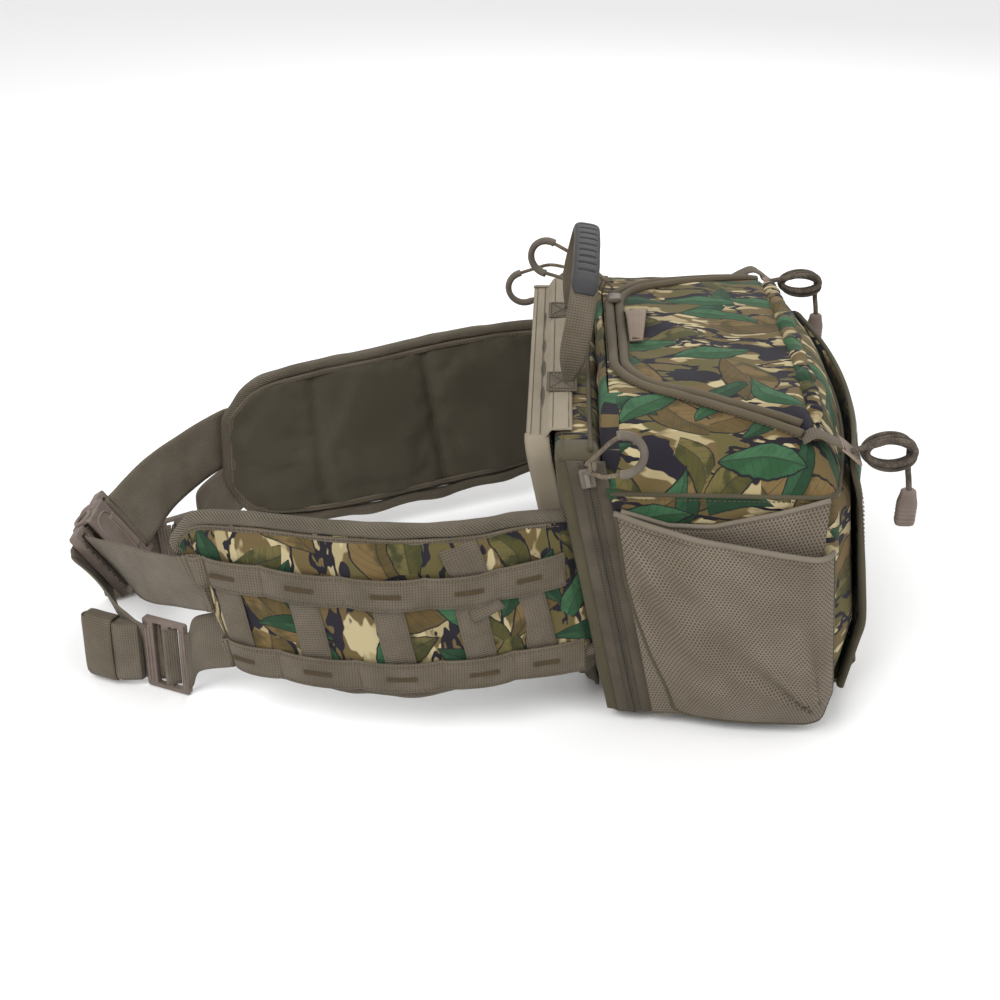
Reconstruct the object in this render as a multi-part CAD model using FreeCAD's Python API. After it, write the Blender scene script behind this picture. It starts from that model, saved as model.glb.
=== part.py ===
"""Hunting waist pack, built from its sewn panels, webbing and moulded hardware.

Frame, millimetres: origin at the centre of the bag's base, +Z up, +X away from the wearer's back,
+Y to the wearer's right. The bag stands on its base and the belt runs forward of the wearer, to -X.
"""

import math
import os

import FreeCAD
import Part

V = FreeCAD.Vector
os.makedirs("parts", exist_ok=True)

# Driving dimensions
SIDE_HALF = 187.0  # half the bag's width at the side panels
BAG_TOP = 224.0  # top of the crowned lid
WALL = 4.0  # fabric, foam and lining together
REAR_LEAN = 0.21  # how far the back leans towards the wearer, per mm of height
REAR_X = -55.5  # back of the zipped compartment at the base
REAR_POCKET = 34.0  # depth of the zipped compartment
PAD = 17.0  # lumbar pad thickness
BELT_WEB = 50.0  # belt webbing width
WEB_THICK = 1.8
SLAT_WEB = 20.0
WING_THICK = 11.0
SHOCK_R = 2.0  # shock cord radius
PULL_R = 1.5  # zip pull cord radius
SIDES = {"left": -1, "right": 1}


def rear(z, offset=0.0):
    """x of the leaning back plane at height z."""
    return REAR_X - REAR_LEAN * z + offset


def save(name, *solids):
    shape = solids[0] if len(solids) == 1 else Part.makeCompound(list(solids))
    shape.exportStep("parts/" + name + ".step")


def box(x0, x1, y0, y1, z0, z1):
    return Part.makeBox(x1 - x0, y1 - y0, z1 - z0, V(x0, y0, z0))


def polygon(points):
    return Part.makePolygon([V(*p) for p in points] + [V(*points[0])])


def loft(wires):
    return Part.makeLoft(wires, True, True)


def mirrored(shape, side):
    return shape if side < 0 else shape.mirror(V(0, 0, 0), V(0, 1, 0))


def slab(profile, y0, y1, rounding=0.0):
    """A profile of (x, z) points, extruded from y0 to y1, with its edges rounded."""
    face = Part.Face(polygon([(x, y0, z) for x, z in profile]))
    solid = face.extrude(V(0, y1 - y0, 0))
    return solid.makeFillet(rounding, solid.Edges) if rounding else solid


def ribbon(frames, width, thick):
    """A flat strap. Each frame is (centre, direction across the width, normal).

    A frame may end in a width of its own.
    """
    wires = []
    for centre, across, normal, *own in frames:
        c = V(*centre)
        a = V(*across).normalize() * ((own[0] if own else width) / 2)
        n = V(*normal)
        n = (n - V(*across).normalize() * n.dot(V(*across).normalize())).normalize() * (thick / 2)
        wires.append(polygon([tuple(p) for p in (c - a - n, c + a - n, c + a + n, c - a + n)]))
    return loft(wires)


def cord_path(points):
    """Straight runs joined by tangent arcs, each as large as its two runs allow."""
    p = [V(*q) for q in points]
    edges, start = [], p[0]
    for before, here, after in zip(p, p[1:], p[2:]):
        back, ahead = (before - here), (after - here)
        turn = math.pi - back.getAngle(ahead)
        reach = 0.45 * min(back.Length, ahead.Length)
        a = here + back.normalize() * reach
        b = here + ahead.normalize() * reach
        inward = (back + ahead).normalize()
        radius = reach / math.tan(turn / 2)
        to_centre = math.hypot(reach, radius)
        middle = here + inward * (to_centre - radius)
        edges.append(Part.LineSegment(start, a).toShape())
        edges.append(Part.Arc(a, middle, b).toShape())
        start = b
    edges.append(Part.LineSegment(start, p[-1]).toShape())
    return Part.Wire(edges)


def cord(points, radius):
    path = cord_path(points)
    first = path.Edges[0]
    tangent = first.tangentAt(first.FirstParameter)
    section = Part.Wire(Part.makeCircle(radius, V(*points[0]), tangent))
    return path.makePipeShell([section], True, True)


# The main compartment

def plan(z, back, front, half, bulge, corner=16.0):
    """The bag's outline at one height: flat back, flat sides and a bowed front."""
    k = corner * (1 - math.sqrt(0.5))
    a, b = V(back, -half, z), V(front - corner, -half, z)
    c, d = V(front, corner - half, z), V(front, half - corner, z)
    e, f = V(front - corner, half, z), V(back, half, z)
    edges = [
        Part.LineSegment(a, b).toShape(),
        Part.Arc(b, V(front - k, k - half, z), c).toShape(),
        Part.Arc(c, V(front + bulge, 0, z), d).toShape(),
        Part.Arc(d, V(front - k, half - k, z), e).toShape(),
        Part.LineSegment(e, f).toShape(),
        Part.LineSegment(f, a).toShape(),
    ]
    return Part.Wire(edges)


SHELL_BACK = REAR_POCKET + 0.5
OUTSIDE = [  # height, front, half width, bulge of the front
    (0.0, 92.0, 168.0, 14.0),
    (22.0, 107.0, 184.0, 19.0),
    (184.0, 92.0, SIDE_HALF, 22.0),
    (206.0, 85.0, 174.0, 20.0),
    (218.0, 78.0, 150.0, 16.0),
    (BAG_TOP, 71.0, 116.0, 12.0),
]
outer = loft([plan(z, rear(min(z, 208.0), SHELL_BACK), f, h, b) for z, f, h, b in OUTSIDE])
INSIDE = [
    (WALL, 91.0, 167.0, 14.5),
    (22.0, 103.0, SIDE_HALF - WALL - 3.0, 19.0),
    (184.0, 88.0, SIDE_HALF - WALL, 22.0),
    (204.0, 81.5, 170.5, 20.0),
    (214.0, 75.0, 147.0, 16.0),
    (BAG_TOP - WALL, 69.0, 113.0, 12.0),
]
inner = loft([plan(z, rear(min(z, 208.0), SHELL_BACK + WALL), f, h, b) for z, f, h, b in INSIDE])
shell = outer.cut(inner)

# The lid is a horseshoe cut out of the crowned top, hinged along its front edge.
LID_HINGE_X = 77.0
LID_REAR_X = -50.0
LID_REAR_HALF, LID_FRONT_HALF, LID_CORNER = 113.0, 150.0, 44.0


def horseshoe(grow, front_grow, front_x):
    """The horseshoe prism, grown outwards at the back corners and at the front."""
    back, half, corner = LID_REAR_X - grow, LID_REAR_HALF + grow, LID_CORNER + grow
    front_half = LID_FRONT_HALF + front_grow
    slope = V(front_x - (back + corner), front_half - half, 0).normalize()
    turn = math.atan2(slope.y, slope.x)
    centre = V(back + corner, half - corner, 0)
    leave = centre + V(-math.sin(turn), math.cos(turn), 0) * corner
    mid_angle = (math.pi + math.pi / 2 + turn) / 2
    middle = centre + V(math.cos(mid_angle), math.sin(mid_angle), 0) * corner
    start = centre + V(-corner, 0, 0)

    def flip(p):
        return V(p.x, -p.y, p.z)

    corner_front = V(front_x, front_half, 0)
    edges = [
        Part.LineSegment(corner_front, leave).toShape(),
        Part.Arc(leave, middle, start).toShape(),
        Part.LineSegment(start, flip(start)).toShape(),
        Part.Arc(flip(start), flip(middle), flip(leave)).toShape(),
        Part.LineSegment(flip(leave), flip(corner_front)).toShape(),
        Part.LineSegment(flip(corner_front), corner_front).toShape(),
    ]
    face = Part.Face(Part.Wire(edges))
    face.translate(V(0, 0, 190))
    return face.extrude(V(0, 0, 80))


lid_hole = horseshoe(2.0, 9.0, LID_HINGE_X + 0.5)
save("lid_panel", shell.common(horseshoe(0.0, 0.0, LID_HINGE_X - 0.5)))
open_shell = shell.cut(lid_hole)

# The welts stand on the crowned top, either side of the lid's zip.
WELT_HIGH = 4.5
WELT_FRONT = 54.0  # the welts stop short of the corner webbing
raised = outer.copy()
raised.translate(V(0, 0, WELT_HIGH))
welts = raised.cut(outer).cut(box(WELT_FRONT, 120, -200, 200, 180, 240))
outer_ring = horseshoe(9.0, 17.0, LID_HINGE_X - 1).cut(horseshoe(2.5, 9.5, 95.0))
inner_ring = horseshoe(-0.5, -0.5, LID_HINGE_X - 5).cut(horseshoe(-7.0, -8.0, 95.0))
save("lid_zip_outer_welt", welts.common(outer_ring))
save("lid_zip_inner_welt", welts.common(inner_ring))

# Sewn panels of the main compartment
TOP_FROM = 184.0
REAR_CUT = slab([(rear(z, SHELL_BACK - 10.0), z) for z in (-5.0, 230.0)]
                + [(rear(z, SHELL_BACK + WALL), z) for z in (230.0, -5.0)], -200, 200)
base_cut = box(-200, 200, -200, 200, -5, WALL)
top_cut = box(-200, 200, -200, 200, TOP_FROM, 240)
save("base_panel", shell.common(base_cut))
save("top_panel", open_shell.common(top_cut))
middle = shell.cut(base_cut).cut(top_cut)
save("rear_wall", middle.common(REAR_CUT))
middle = middle.cut(REAR_CUT)
SIDE_CUT_X = 68.0
save("front_panel", middle.cut(box(-200, SIDE_CUT_X, -200, 200, -5, 240)))
save("side_panels", *[middle.common(mirrored(box(-200, SIDE_CUT_X, -200, 0, -5, 240), sign))
                      for sign in SIDES.values()])

# The zipped compartment against the wearer, the frame sheet and the lumbar pad
save("rear_pocket", slab(
    [(rear(z), z) for z in (3.0, 212.0)] + [(rear(z, REAR_POCKET), z) for z in (212.0, 3.0)],
    -183.0, 183.0, 7.0,
))
SHEET = 1.6
save("frame_sheet", slab(
    [(rear(z, -0.3), z) for z in (16.0, 192.0)] + [(rear(z, -0.3 - SHEET), z) for z in (192.0, 16.0)],
    -150.0, 150.0,
))
PAD_FACE = -0.6 - SHEET
save("lumbar_pad", slab(
    [(rear(z, PAD_FACE), z) for z in (8.0, 206.0)] + [(rear(z, PAD_FACE - PAD), z) for z in (206.0, 8.0)],
    -160.0, 160.0, 8.0,
))

# Side zips: tape on each end of the rear compartment, with a slider at the top
ZIP_OFFSET = 22.0  # from the back plane to the zip's centre
ZIP_TOP, ZIP_BOTTOM = 208.0, 8.0
TAPE_HALF, TAPE = 9.0, 1.2
SLIDER_Z = 196.0
TAPE_Y = -183.3
zip_dir = V(-REAR_LEAN, 0, 1).normalize()


def side_zip(sign):
    profile = [(rear(z, ZIP_OFFSET - TAPE_HALF), z) for z in (ZIP_BOTTOM, ZIP_TOP)]
    profile += [(rear(z, ZIP_OFFSET + TAPE_HALF), z) for z in (ZIP_TOP, ZIP_BOTTOM)]
    return mirrored(slab(profile, TAPE_Y - TAPE, TAPE_Y), sign)


def along_zip(shape, z, y):
    """Stands a shape, made about the origin with +Z along the zip, at height z on the zip."""
    shape.rotate(V(0, 0, 0), V(0, 1, 0), -math.degrees(math.atan(REAR_LEAN)))
    shape.translate(V(rear(z, ZIP_OFFSET), y, z))
    return shape


def slider(sign, z=SLIDER_Z):
    body = box(-5.0, 5.0, -4.2, 0, -7, 7)
    body = body.makeFillet(1.5, body.Edges)
    bridge = box(-1.6, 1.6, -7.0, -4.0, -5, 5).cut(box(-3, 3, -5.8, -4.2, -3.4, 3.4))
    return mirrored(along_zip(body.fuse(bridge), z, TAPE_Y - TAPE - 0.4), sign)


save("zip_tapes", *[side_zip(sign) for sign in SIDES.values()])
for name, sign in SIDES.items():
    save(name + "_zip_slider", slider(sign))

# Zip pulls: a cord hitched to the slider, and a bent sleeve that the cord runs through
SLEEVE_R, RING_R = 2.9, 14.0


def sleeve(centre, first, second, sweep=200.0):
    """A tube bent round centre; first points to its middle, and second is square to it in its plane."""
    a, b = V(*first).normalize(), V(*second).normalize()
    half = math.radians(sweep / 2)
    c = V(*centre)
    ends = [c + a * (RING_R * math.cos(t)) + b * (RING_R * math.sin(t)) for t in (-half, 0.0, half)]
    arc = Part.Arc(*ends).toShape()
    tangent = arc.tangentAt(arc.FirstParameter)
    return Part.Wire(arc).makePipeShell(
        [Part.Wire(Part.makeCircle(SLEEVE_R, ends[0], tangent))], True, True), ends[0], ends[2]


def pull(name, root, centre, first, second, bend):
    """Sleeve and two cord legs from the slider at root to the sleeve's ends."""
    tube, low, high = sleeve(centre, first, second)
    save(name + "_pull_sleeve", tube)
    side = V(*second).normalize()
    toward = V(*first).normalize()
    legs = []
    for end, s in ((low, -1), (high, 1)):
        start = V(*root) + side * (2.4 * s)
        knee = (start + end) * 0.5 + V(*bend) + side * (1.5 * s)
        last = end - toward * 1.1
        legs.append(cord([tuple(start), tuple(knee), tuple(last)], PULL_R))
    save(name + "_pull_cord", *legs)


PULL_ROOT_X, PULL_ROOT_Y, PULL_ROOT_Z = rear(200, ZIP_OFFSET), 192.6, 206.0
pull("left", (PULL_ROOT_X, -PULL_ROOT_Y, PULL_ROOT_Z), (-53.5, -202.0, 220.5),
     (1, 0, 0.1), (-0.1, 0, 1), (0, -4, 0))
pull("right", (PULL_ROOT_X, PULL_ROOT_Y, PULL_ROOT_Z), (-126.0, 197.0, 190.0),
     (-0.92, 0, -0.39), (-0.39, 0, 0.92), (0, 2, 5))

# The lid's slider sits on the zip at the back, near its right corner.
LID_SLIDER_Y = 60.0
LID_ZIP_X = LID_REAR_X - 1.0
SLIDER_BASE = BAG_TOP + WELT_HIGH + 0.4
lid_slider = box(LID_ZIP_X - 5, LID_ZIP_X + 5, LID_SLIDER_Y - 7, LID_SLIDER_Y + 7,
                 SLIDER_BASE, SLIDER_BASE + 4)
save("lid_zip_slider", lid_slider.makeFillet(1.4, lid_slider.Edges))
pull("lid", (LID_ZIP_X - 2, LID_SLIDER_Y + 8, SLIDER_BASE + 6), (-105.0, 104.0, 249.0),
     (-0.85, 0.25, 0.25), (0.25, -0.1, 0.9), (0, 0, 2))

# Stretch bottle pockets on the sides
POCKET_DEEP, POCKET_WALL, POCKET_SKIN_Y = 19.0, 2.4, -SIDE_HALF - 1.0
POCKET_PLAN = [  # height, x at the sewn rear edge, x at the sewn front edge
    (10.0, -27.0, 96.0), (34.0, -33.0, 101.0), (168.0, -55.0, 87.0), (177.0, -44.0, 84.0),
]
POCKET_RISE = 64.0  # how far from its sewn edges the pocket is at its full depth


def pocket_body(inset, deep, y_in, low, high):
    """A flat-fronted wedge on the side panel, between two heights."""
    wires = []
    rows = [(low, *POCKET_PLAN[0][1:])] + POCKET_PLAN[1:-1] + [(high, *POCKET_PLAN[-1][1:])]
    for z, x0, x1 in rows:
        a, b = x0 + inset, x1 - inset
        edge = 0.0 if inset else -POCKET_WALL
        wires.append(polygon([
            (a, y_in, z), (a, POCKET_SKIN_Y + edge, z), (a + POCKET_RISE, POCKET_SKIN_Y - deep, z),
            (b - 0.3 * POCKET_RISE, POCKET_SKIN_Y - deep, z), (b, POCKET_SKIN_Y + edge, z), (b, y_in, z)]))
    return loft(wires)


pocket_solid = pocket_body(0.0, POCKET_DEEP, POCKET_SKIN_Y, 10.0, 176.0)
pocket_space = pocket_body(3.0, POCKET_DEEP - POCKET_WALL, POCKET_SKIN_Y + 2.0, 13.0, 176.5)
for name, sign in SIDES.items():
    save(name + "_mesh_pocket", mirrored(pocket_solid.cut(pocket_space), sign))

# Front carry flap: an open-sided panel sewn in at the base, held at its top corners
FLAP_THICK, FLAP_HALF, BIND = 3.0, 146.0, 7.0
FLAP = [  # height, x at the flap's side edges, x at its middle
    (10.0, 114.0, 128.0), (68.0, 124.0, 136.0), (164.0, 111.0, 126.0), (189.0, 103.0, 120.0),
]


def flap_band(half, low, high, thick, out=0.0):
    """A curved panel that stands off the front, as wide as half on each side."""
    def at_height(z):
        for (z0, e0, m0), (z1, e1, m1) in zip(FLAP, FLAP[1:]):
            if z <= z1:
                t = (z - z0) / (z1 - z0)
                return e0 + (e1 - e0) * t + out, m0 + (m1 - m0) * t + out
        return FLAP[-1][1] + out, FLAP[-1][2] + out

    wires = []
    for z in [low] + [row[0] for row in FLAP if low < row[0] < high] + [high]:
        edge, mid = at_height(z)
        inner = Part.Arc(V(edge, -half, z), V(mid, 0, z), V(edge, half, z)).toShape()
        front_edge, front_mid = edge + thick, mid + thick
        outer_arc = Part.Arc(V(front_edge, half, z), V(front_mid, 0, z), V(front_edge, -half, z)).toShape()
        wires.append(Part.Wire([
            inner, Part.LineSegment(V(edge, half, z), V(front_edge, half, z)).toShape(),
            outer_arc, Part.LineSegment(V(front_edge, -half, z), V(edge, -half, z)).toShape()]))
    return loft(wires)


flap_floor = flap_band(FLAP_HALF, 10.0, 13.0, 40.0, -36.0).cut(outer)
save("carry_flap", flap_band(FLAP_HALF, 10.0, 189.0, FLAP_THICK).fuse(flap_floor).removeSplitter())
binding = flap_band(FLAP_HALF + BIND, 10.0, 189.0 + BIND, FLAP_THICK + 2.4, -1.2)
save("carry_flap_binding", binding.cut(box(0, 300, -FLAP_HALF - 0.3, FLAP_HALF + 0.3, 0, 189.3)))

# Corner tabs, and the shock cord that hangs coiled from each
TAB_Y = 156.0
HANK = {"left": (125.0, 203.0), "right": (110.0, 211.0)}  # x and z of the hank's middle
HANK_LONG, HANK_HIGH, HANK_DEEP = 19.0, 13.0, 17.0  # half, half, whole
webs, tabs = [], []
for name, sign in SIDES.items():
    y = TAB_Y * sign
    hx, hz = HANK[name]
    web_y = y + 3.0 * sign
    webs.append(ribbon([((hx - 51, web_y, 219.0), (0, 1, 0), (0.2, 0, 1)),
                        ((hx - 40, web_y, hz + 11.5), (0, 1, 0), (0.5, 0, 1)),
                        ((hx - 31.4, web_y, hz + 6.1), (0, 1, 0), (0.8, 0, 1))], 16.0, 1.6))
    tabs.append(ribbon([((hx - 30.5, y, hz + 5.6), (0, 1, 0), (0.7, 0, 1)),
                        ((hx - 20.5, y, hz - 3.0), (0, 1, 0), (0.7, 0, 1))], 24.0, 2.2))
    corner = V(hx, y - HANK_DEEP / 2, hz)
    oval = Part.Ellipse(corner, HANK_LONG, HANK_HIGH).toShape()
    oval.rotate(corner, V(1, 0, 0), 90)
    save(name + "_cord_hank", Part.Face(Part.Wire(oval)).extrude(V(0, HANK_DEEP, 0)))
    lead = [(hx + 12.0, y, hz - 10.4), (hx + 15.5, y, hz - 18.0), (hx + 17.0, y, hz - 26.0)]
    save(name + "_cord_lead", cord(lead, SHOCK_R))
    x, z = hx + 17.3, hz - 26.6
    wires = []
    for half_x, half_y, down in ((5.0, 3.5, 0.0), (6.8, 4.6, 10.0), (6.8, 4.6, 27.0)):
        corners = ((-half_x, -half_y), (half_x, -half_y), (half_x, half_y), (-half_x, half_y))
        wires.append(polygon([(x + dx, y + dy, z - down) for dx, dy in corners]))
    save(name + "_cord_end", loft(wires))
save("corner_webs", *webs)
save("corner_tabs", *tabs)

# Carry handle: webbing sewn to the pad's top edge, and a moulded grip on it
HANDLE_X, FOOT_Z, GRIP_Z = -88.0, 212.6, 287.0
FOOT_Y, GRIP_HALF = 74.0, 58.0
HANDLE_WEB, GRIP_WIDE = 20.0, 23.0
PIVOT, FOOT_WIDE = 4.0, 5.0  # the web narrows to its foot, which is this far above the anchor
frames = [  # y, height and how far the web's face has turned upright
    (-FOOT_Y, FOOT_Z + PIVOT, 1.0),
    (-FOOT_Y + 2, FOOT_Z + 24, 1.0),
    (-GRIP_HALF - 2, GRIP_Z - 16, 0.8),
    (-GRIP_HALF + 10, GRIP_Z - 5, 0.3),
    (0.0, GRIP_Z, 0.0),
]
frames += [(-y, z, -tilt) for y, z, tilt in reversed(frames[:-1])]
SKEW = 0.16  # the grip hangs a little lower on the left
frames = [(y, z + SKEW * y * min(1.0, (z - FOOT_Z) / 50), tilt) for y, z, tilt in frames]
lean = 0.17  # the handle leans forward a little as it stands
strap = [((HANDLE_X + lean * (z - FOOT_Z), y, z), (1, 0, -lean), (0, -tilt, 1.02 - abs(tilt)),
          FOOT_WIDE if abs(y) == FOOT_Y else HANDLE_WEB) for y, z, tilt in frames]
save("handle_web", ribbon(strap, HANDLE_WEB, WEB_THICK))
grip_frames = [f[:3] for f in strap if abs(f[0][1]) < GRIP_HALF]
grip = ribbon(grip_frames, GRIP_WIDE, 11.0)
core = ribbon([f[:3] for f in strap], HANDLE_WEB + 0.6, WEB_THICK + 0.6)
save("handle_grip", grip.cut(core))

# Handle anchors on the pad, and the lid's pull tab
patches = []
for sign in SIDES.values():
    ends = [(HANDLE_X - 4, sign * y, FOOT_Z + 0.15) for y in (FOOT_Y - 16, FOOT_Y + 14)]
    patches.append(ribbon([(end, (1, 0, 0), (0, 0, 1)) for end in ends], 22.0, 1.2))
save("handle_patches", *patches)
tab_profile = [((LID_REAR_X + 18, y, BAG_TOP + h), (1, 0, 0.0), (0, s, 1)) for y, h, s in (
    (-34, 1.2, 0.0), (-14, 6.0, -0.2), (12, 6.0, 0.2), (34, 1.2, 0.0))]
save("lid_pull_tab", ribbon(tab_profile, 18.0, 1.6))

# Belt wings
STATIONS = {  # bottom and top of the wing's middle surface, from the bag to the tip
    "left": [
        ((-71, -178, 54), (-96, -178, 165)),
        ((-104, -187, 49), (-120, -190, 169)),
        ((-146, -200, 44), (-150, -208, 172)),
        ((-196, -208, 40), (-198, -218, 174)),
        ((-250, -204, 43), (-250, -214, 174)),
        ((-296, -193, 46), (-306, -200, 171)),
        ((-316, -185, 54), (-338, -192, 164)),
        ((-328, -180, 84), (-351, -188, 144)),
    ],
    "right": [
        ((-68, 178, 42), (-95, 179, 164)),
        ((-96, 168, 34), (-116, 181, 164)),
        ((-142, 144, 28), (-148, 174, 163)),
        ((-192, 122, 25), (-198, 155, 161)),
        ((-248, 92, 24), (-256, 122, 158)),
        ((-302, 68, 24), (-308, 94, 156)),
        ((-350, 58, 30), (-350, 72, 147)),
        ((-374, 56, 60), (-372, 60, 118)),
    ],
}


class Wing:
    """A belt wing's middle surface: along runs 0 to 1 from bag to tip, up runs 0 to 1."""

    def __init__(self, name):
        self.rows = [(V(*a), V(*b)) for a, b in STATIONS[name]]
        self.sign = SIDES[name]

    def normal(self, i):
        a = self.rows[max(i - 1, 0)]
        b = self.rows[min(i + 1, len(self.rows) - 1)]
        along = (b[0] + b[1] - a[0] - a[1]).normalize()
        up = (self.rows[i][1] - self.rows[i][0]).normalize()
        out = along.cross(up).normalize()
        return out if out.y * self.sign > 0 else out * -1

    def point(self, i, up, out):
        low, high = self.rows[i]
        return low + (high - low) * up + self.normal(i) * out

    def sheet(self, up0, up1, out0, out1, first=0, last=None):
        """A closed band of the wing between two heights and two depths."""
        last = len(self.rows) if last is None else last
        wires = []
        for i in range(first, last):
            corners = [self.point(i, u, o) for u, o in ((up0, out0), (up1, out0), (up1, out1), (up0, out1))]
            wires.append(polygon([tuple(c) for c in corners]))
        return loft(wires)

    def strip(self, i, reach, z0, z1, out0, out1):
        """An upright strip across station i, reaching this far each way along the wing."""
        def corners(k):
            low, high = self.rows[k]
            u0, u1 = ((z - low.z) / (high.z - low.z) for z in (z0, z1))
            return [self.point(k, u, o) for u, o in ((u0, out0), (u1, out0), (u1, out1), (u0, out1))]

        here = corners(i)
        wires = []
        for k in (i - 1, i, i + 1):
            there = corners(k)
            share = reach / (there[0] - here[0]).Length if k != i else 0.0
            wires.append(polygon([tuple(a + (b - a) * share) for a, b in zip(here, there)]))
        return loft(wires)

    def band(self, z0, z1, out0, out1, first, last):
        """As sheet, between two heights in mm."""
        wires = []
        for i in range(first, last):
            low, high = self.rows[i]
            u0, u1 = ((z - low.z) / (high.z - low.z) for z in (z0, z1))
            corners = [self.point(i, u, o) for u, o in ((u0, out0), (u1, out0), (u1, out1), (u0, out1))]
            wires.append(polygon([tuple(c) for c in corners]))
        return loft(wires)


ROW_GAP = 3.4
ROWS = {"left": ((44.0, 69.0), (113.0, 138.0)), "right": ((34.0, 59.0), (103.0, 128.0))}
for name in SIDES:
    wing = Wing(name)
    foam = WING_THICK / 2
    save(name + "_wing_pad", wing.sheet(0.05, 0.95, -foam, foam))
    edges = [wing.sheet(0.0, 0.045, -foam - 1, foam + 1), wing.sheet(0.955, 1.0, -foam - 1, foam + 1)]
    save(name + "_wing_binding", *edges)
    last = len(wing.rows) - 1
    rows = [wing.band(z0, z1, foam + ROW_GAP, foam + ROW_GAP + WEB_THICK, 0, last) for z0, z1 in ROWS[name]]
    save(name + "_molle_rows", *rows)
    slats = []
    for i in range(1, last - 1):
        z0, z1 = ROWS[name][0][0] + 8, ROWS[name][1][1] - 2
        slats.append(wing.strip(i, SLAT_WEB / 2, z0, z1, foam + 1.2, foam + 2.4))
    save(name + "_molle_slats", *slats)

# Side-release buckle. Its axes: PULL runs from the male half to the female half,
# ACROSS is its width, which leans, and FACE is its thickness.
BUCKLE = V(-438.0, -84.0, 70.0)
PULL = V(0.0, 1.0, 0.05).normalize()
lean_up = V(-0.56, 0, 0.83)
ACROSS = (lean_up - PULL * lean_up.dot(PULL)).normalize()
FACE = PULL.cross(ACROSS)
BUCKLE_WIDE, BUCKLE_THICK, BUCKLE_LONG = 62.0, 17.0, 34.0
PRONG_REACH = 6.6  # short, so the halves part clean as either wing swings out


def at_buckle(shape):
    """Moves a shape made with X along PULL, Y along ACROSS and Z along FACE to the buckle."""
    m = FreeCAD.Matrix(PULL.x, ACROSS.x, FACE.x, BUCKLE.x, PULL.y, ACROSS.y, FACE.y, BUCKLE.y,
                       PULL.z, ACROSS.z, FACE.z, BUCKLE.z, 0, 0, 0, 1)
    return shape.transformGeometry(m)


def frame_bar(x0, x1):
    """A strap bar: a rounded rectangle with a slot for the belt webbing."""
    body = box(x0, x1, -BUCKLE_WIDE / 2, BUCKLE_WIDE / 2, -3.5, 3.5)
    body = body.makeFillet(2.5, [e for e in body.Edges if abs(e.tangentAt(0).z) > 0.9])
    return body.cut(box(x0 + 6, x1 - 5, -BELT_WEB / 2 - 1.5, BELT_WEB / 2 + 1.5, -9, 9))


INSIDE_WIDE, INSIDE_THICK = BUCKLE_WIDE - 4.0, BUCKLE_THICK - 3.2
female = box(0, BUCKLE_LONG, -BUCKLE_WIDE / 2, BUCKLE_WIDE / 2, -BUCKLE_THICK / 2, BUCKLE_THICK / 2)
female = female.makeFillet(3.0, [e for e in female.Edges if abs(e.tangentAt(0).x) > 0.9])
female = female.cut(box(-1, BUCKLE_LONG - 4, -INSIDE_WIDE / 2, INSIDE_WIDE / 2,
                        -INSIDE_THICK / 2, INSIDE_THICK / 2))
for s in (-1, 1):
    window = Part.makeCylinder(5.0, 12, V(9.5, s * BUCKLE_WIDE / 2 - 6, 0), V(0, 1, 0))
    female = female.cut(window)
female = female.fuse(frame_bar(BUCKLE_LONG - 0.5, BUCKLE_LONG + 17)).removeSplitter()
save("buckle_female", at_buckle(female))

male = frame_bar(-19, -1.5).fuse(box(-4, PRONG_REACH, -5, 5, -1.7, 1.7))
male = male.fuse(box(-6, -0.8, -25.0, 25.0, -3.4, 3.4)).removeSplitter()
save("buckle_male", at_buckle(male))
for name, s in (("upper", 1), ("lower", -1)):
    arm = box(-0.4, PRONG_REACH, 18.5, 22.0, -1.7, 1.7).fuse(box(2.6, PRONG_REACH, 18.5, 25.0, -1.7, 1.7))
    arm = arm.removeSplitter()
    save("buckle_prong_" + name, at_buckle(arm if s > 0 else arm.mirror(V(0, 0, 0), V(0, 1, 0))))


def at(x, y=0.0, z=0.0):
    """A point in the buckle's own axes, in the row frame."""
    return tuple(BUCKLE + PULL * x + ACROSS * y + FACE * z)


# Belt webbing. Each side runs from the wing to its buckle half, round the bar and back to a
# ladder lock on a short strap from the wing's lower corner. The tail is folded flat beside the lock.
UP = (0, 0, 1)
LOCK = {"left": V(-377, -158, 29.5), "right": V(-404, -4, 29.5)}
LOCK_DIR = {"left": V(-0.93, 0.36, 0.0).normalize(), "right": V(-0.80, -0.60, 0.0).normalize()}
LOCK_UP = V(-0.14, 0.10, 1).normalize()


def ladder_lock(name):
    along = LOCK_DIR[name]
    across = (LOCK_UP - along * LOCK_UP.dot(along)).normalize()
    face = along.cross(across)
    body = box(-18, 18, -29, 29, -3, 3)
    body = body.makeFillet(2.0, [e for e in body.Edges if abs(e.tangentAt(0).z) > 0.9])
    for x0, x1 in ((-13.0, -4.5), (1.5, 9.0)):
        body = body.cut(box(x0, x1, -26, 26, -9, 9))
    m = FreeCAD.Matrix(along.x, across.x, face.x, LOCK[name].x, along.y, across.y, face.y, LOCK[name].y,
                       along.z, across.z, face.z, LOCK[name].z, 0, 0, 0, 1)
    return body.transformGeometry(m), along, across, face


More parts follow.
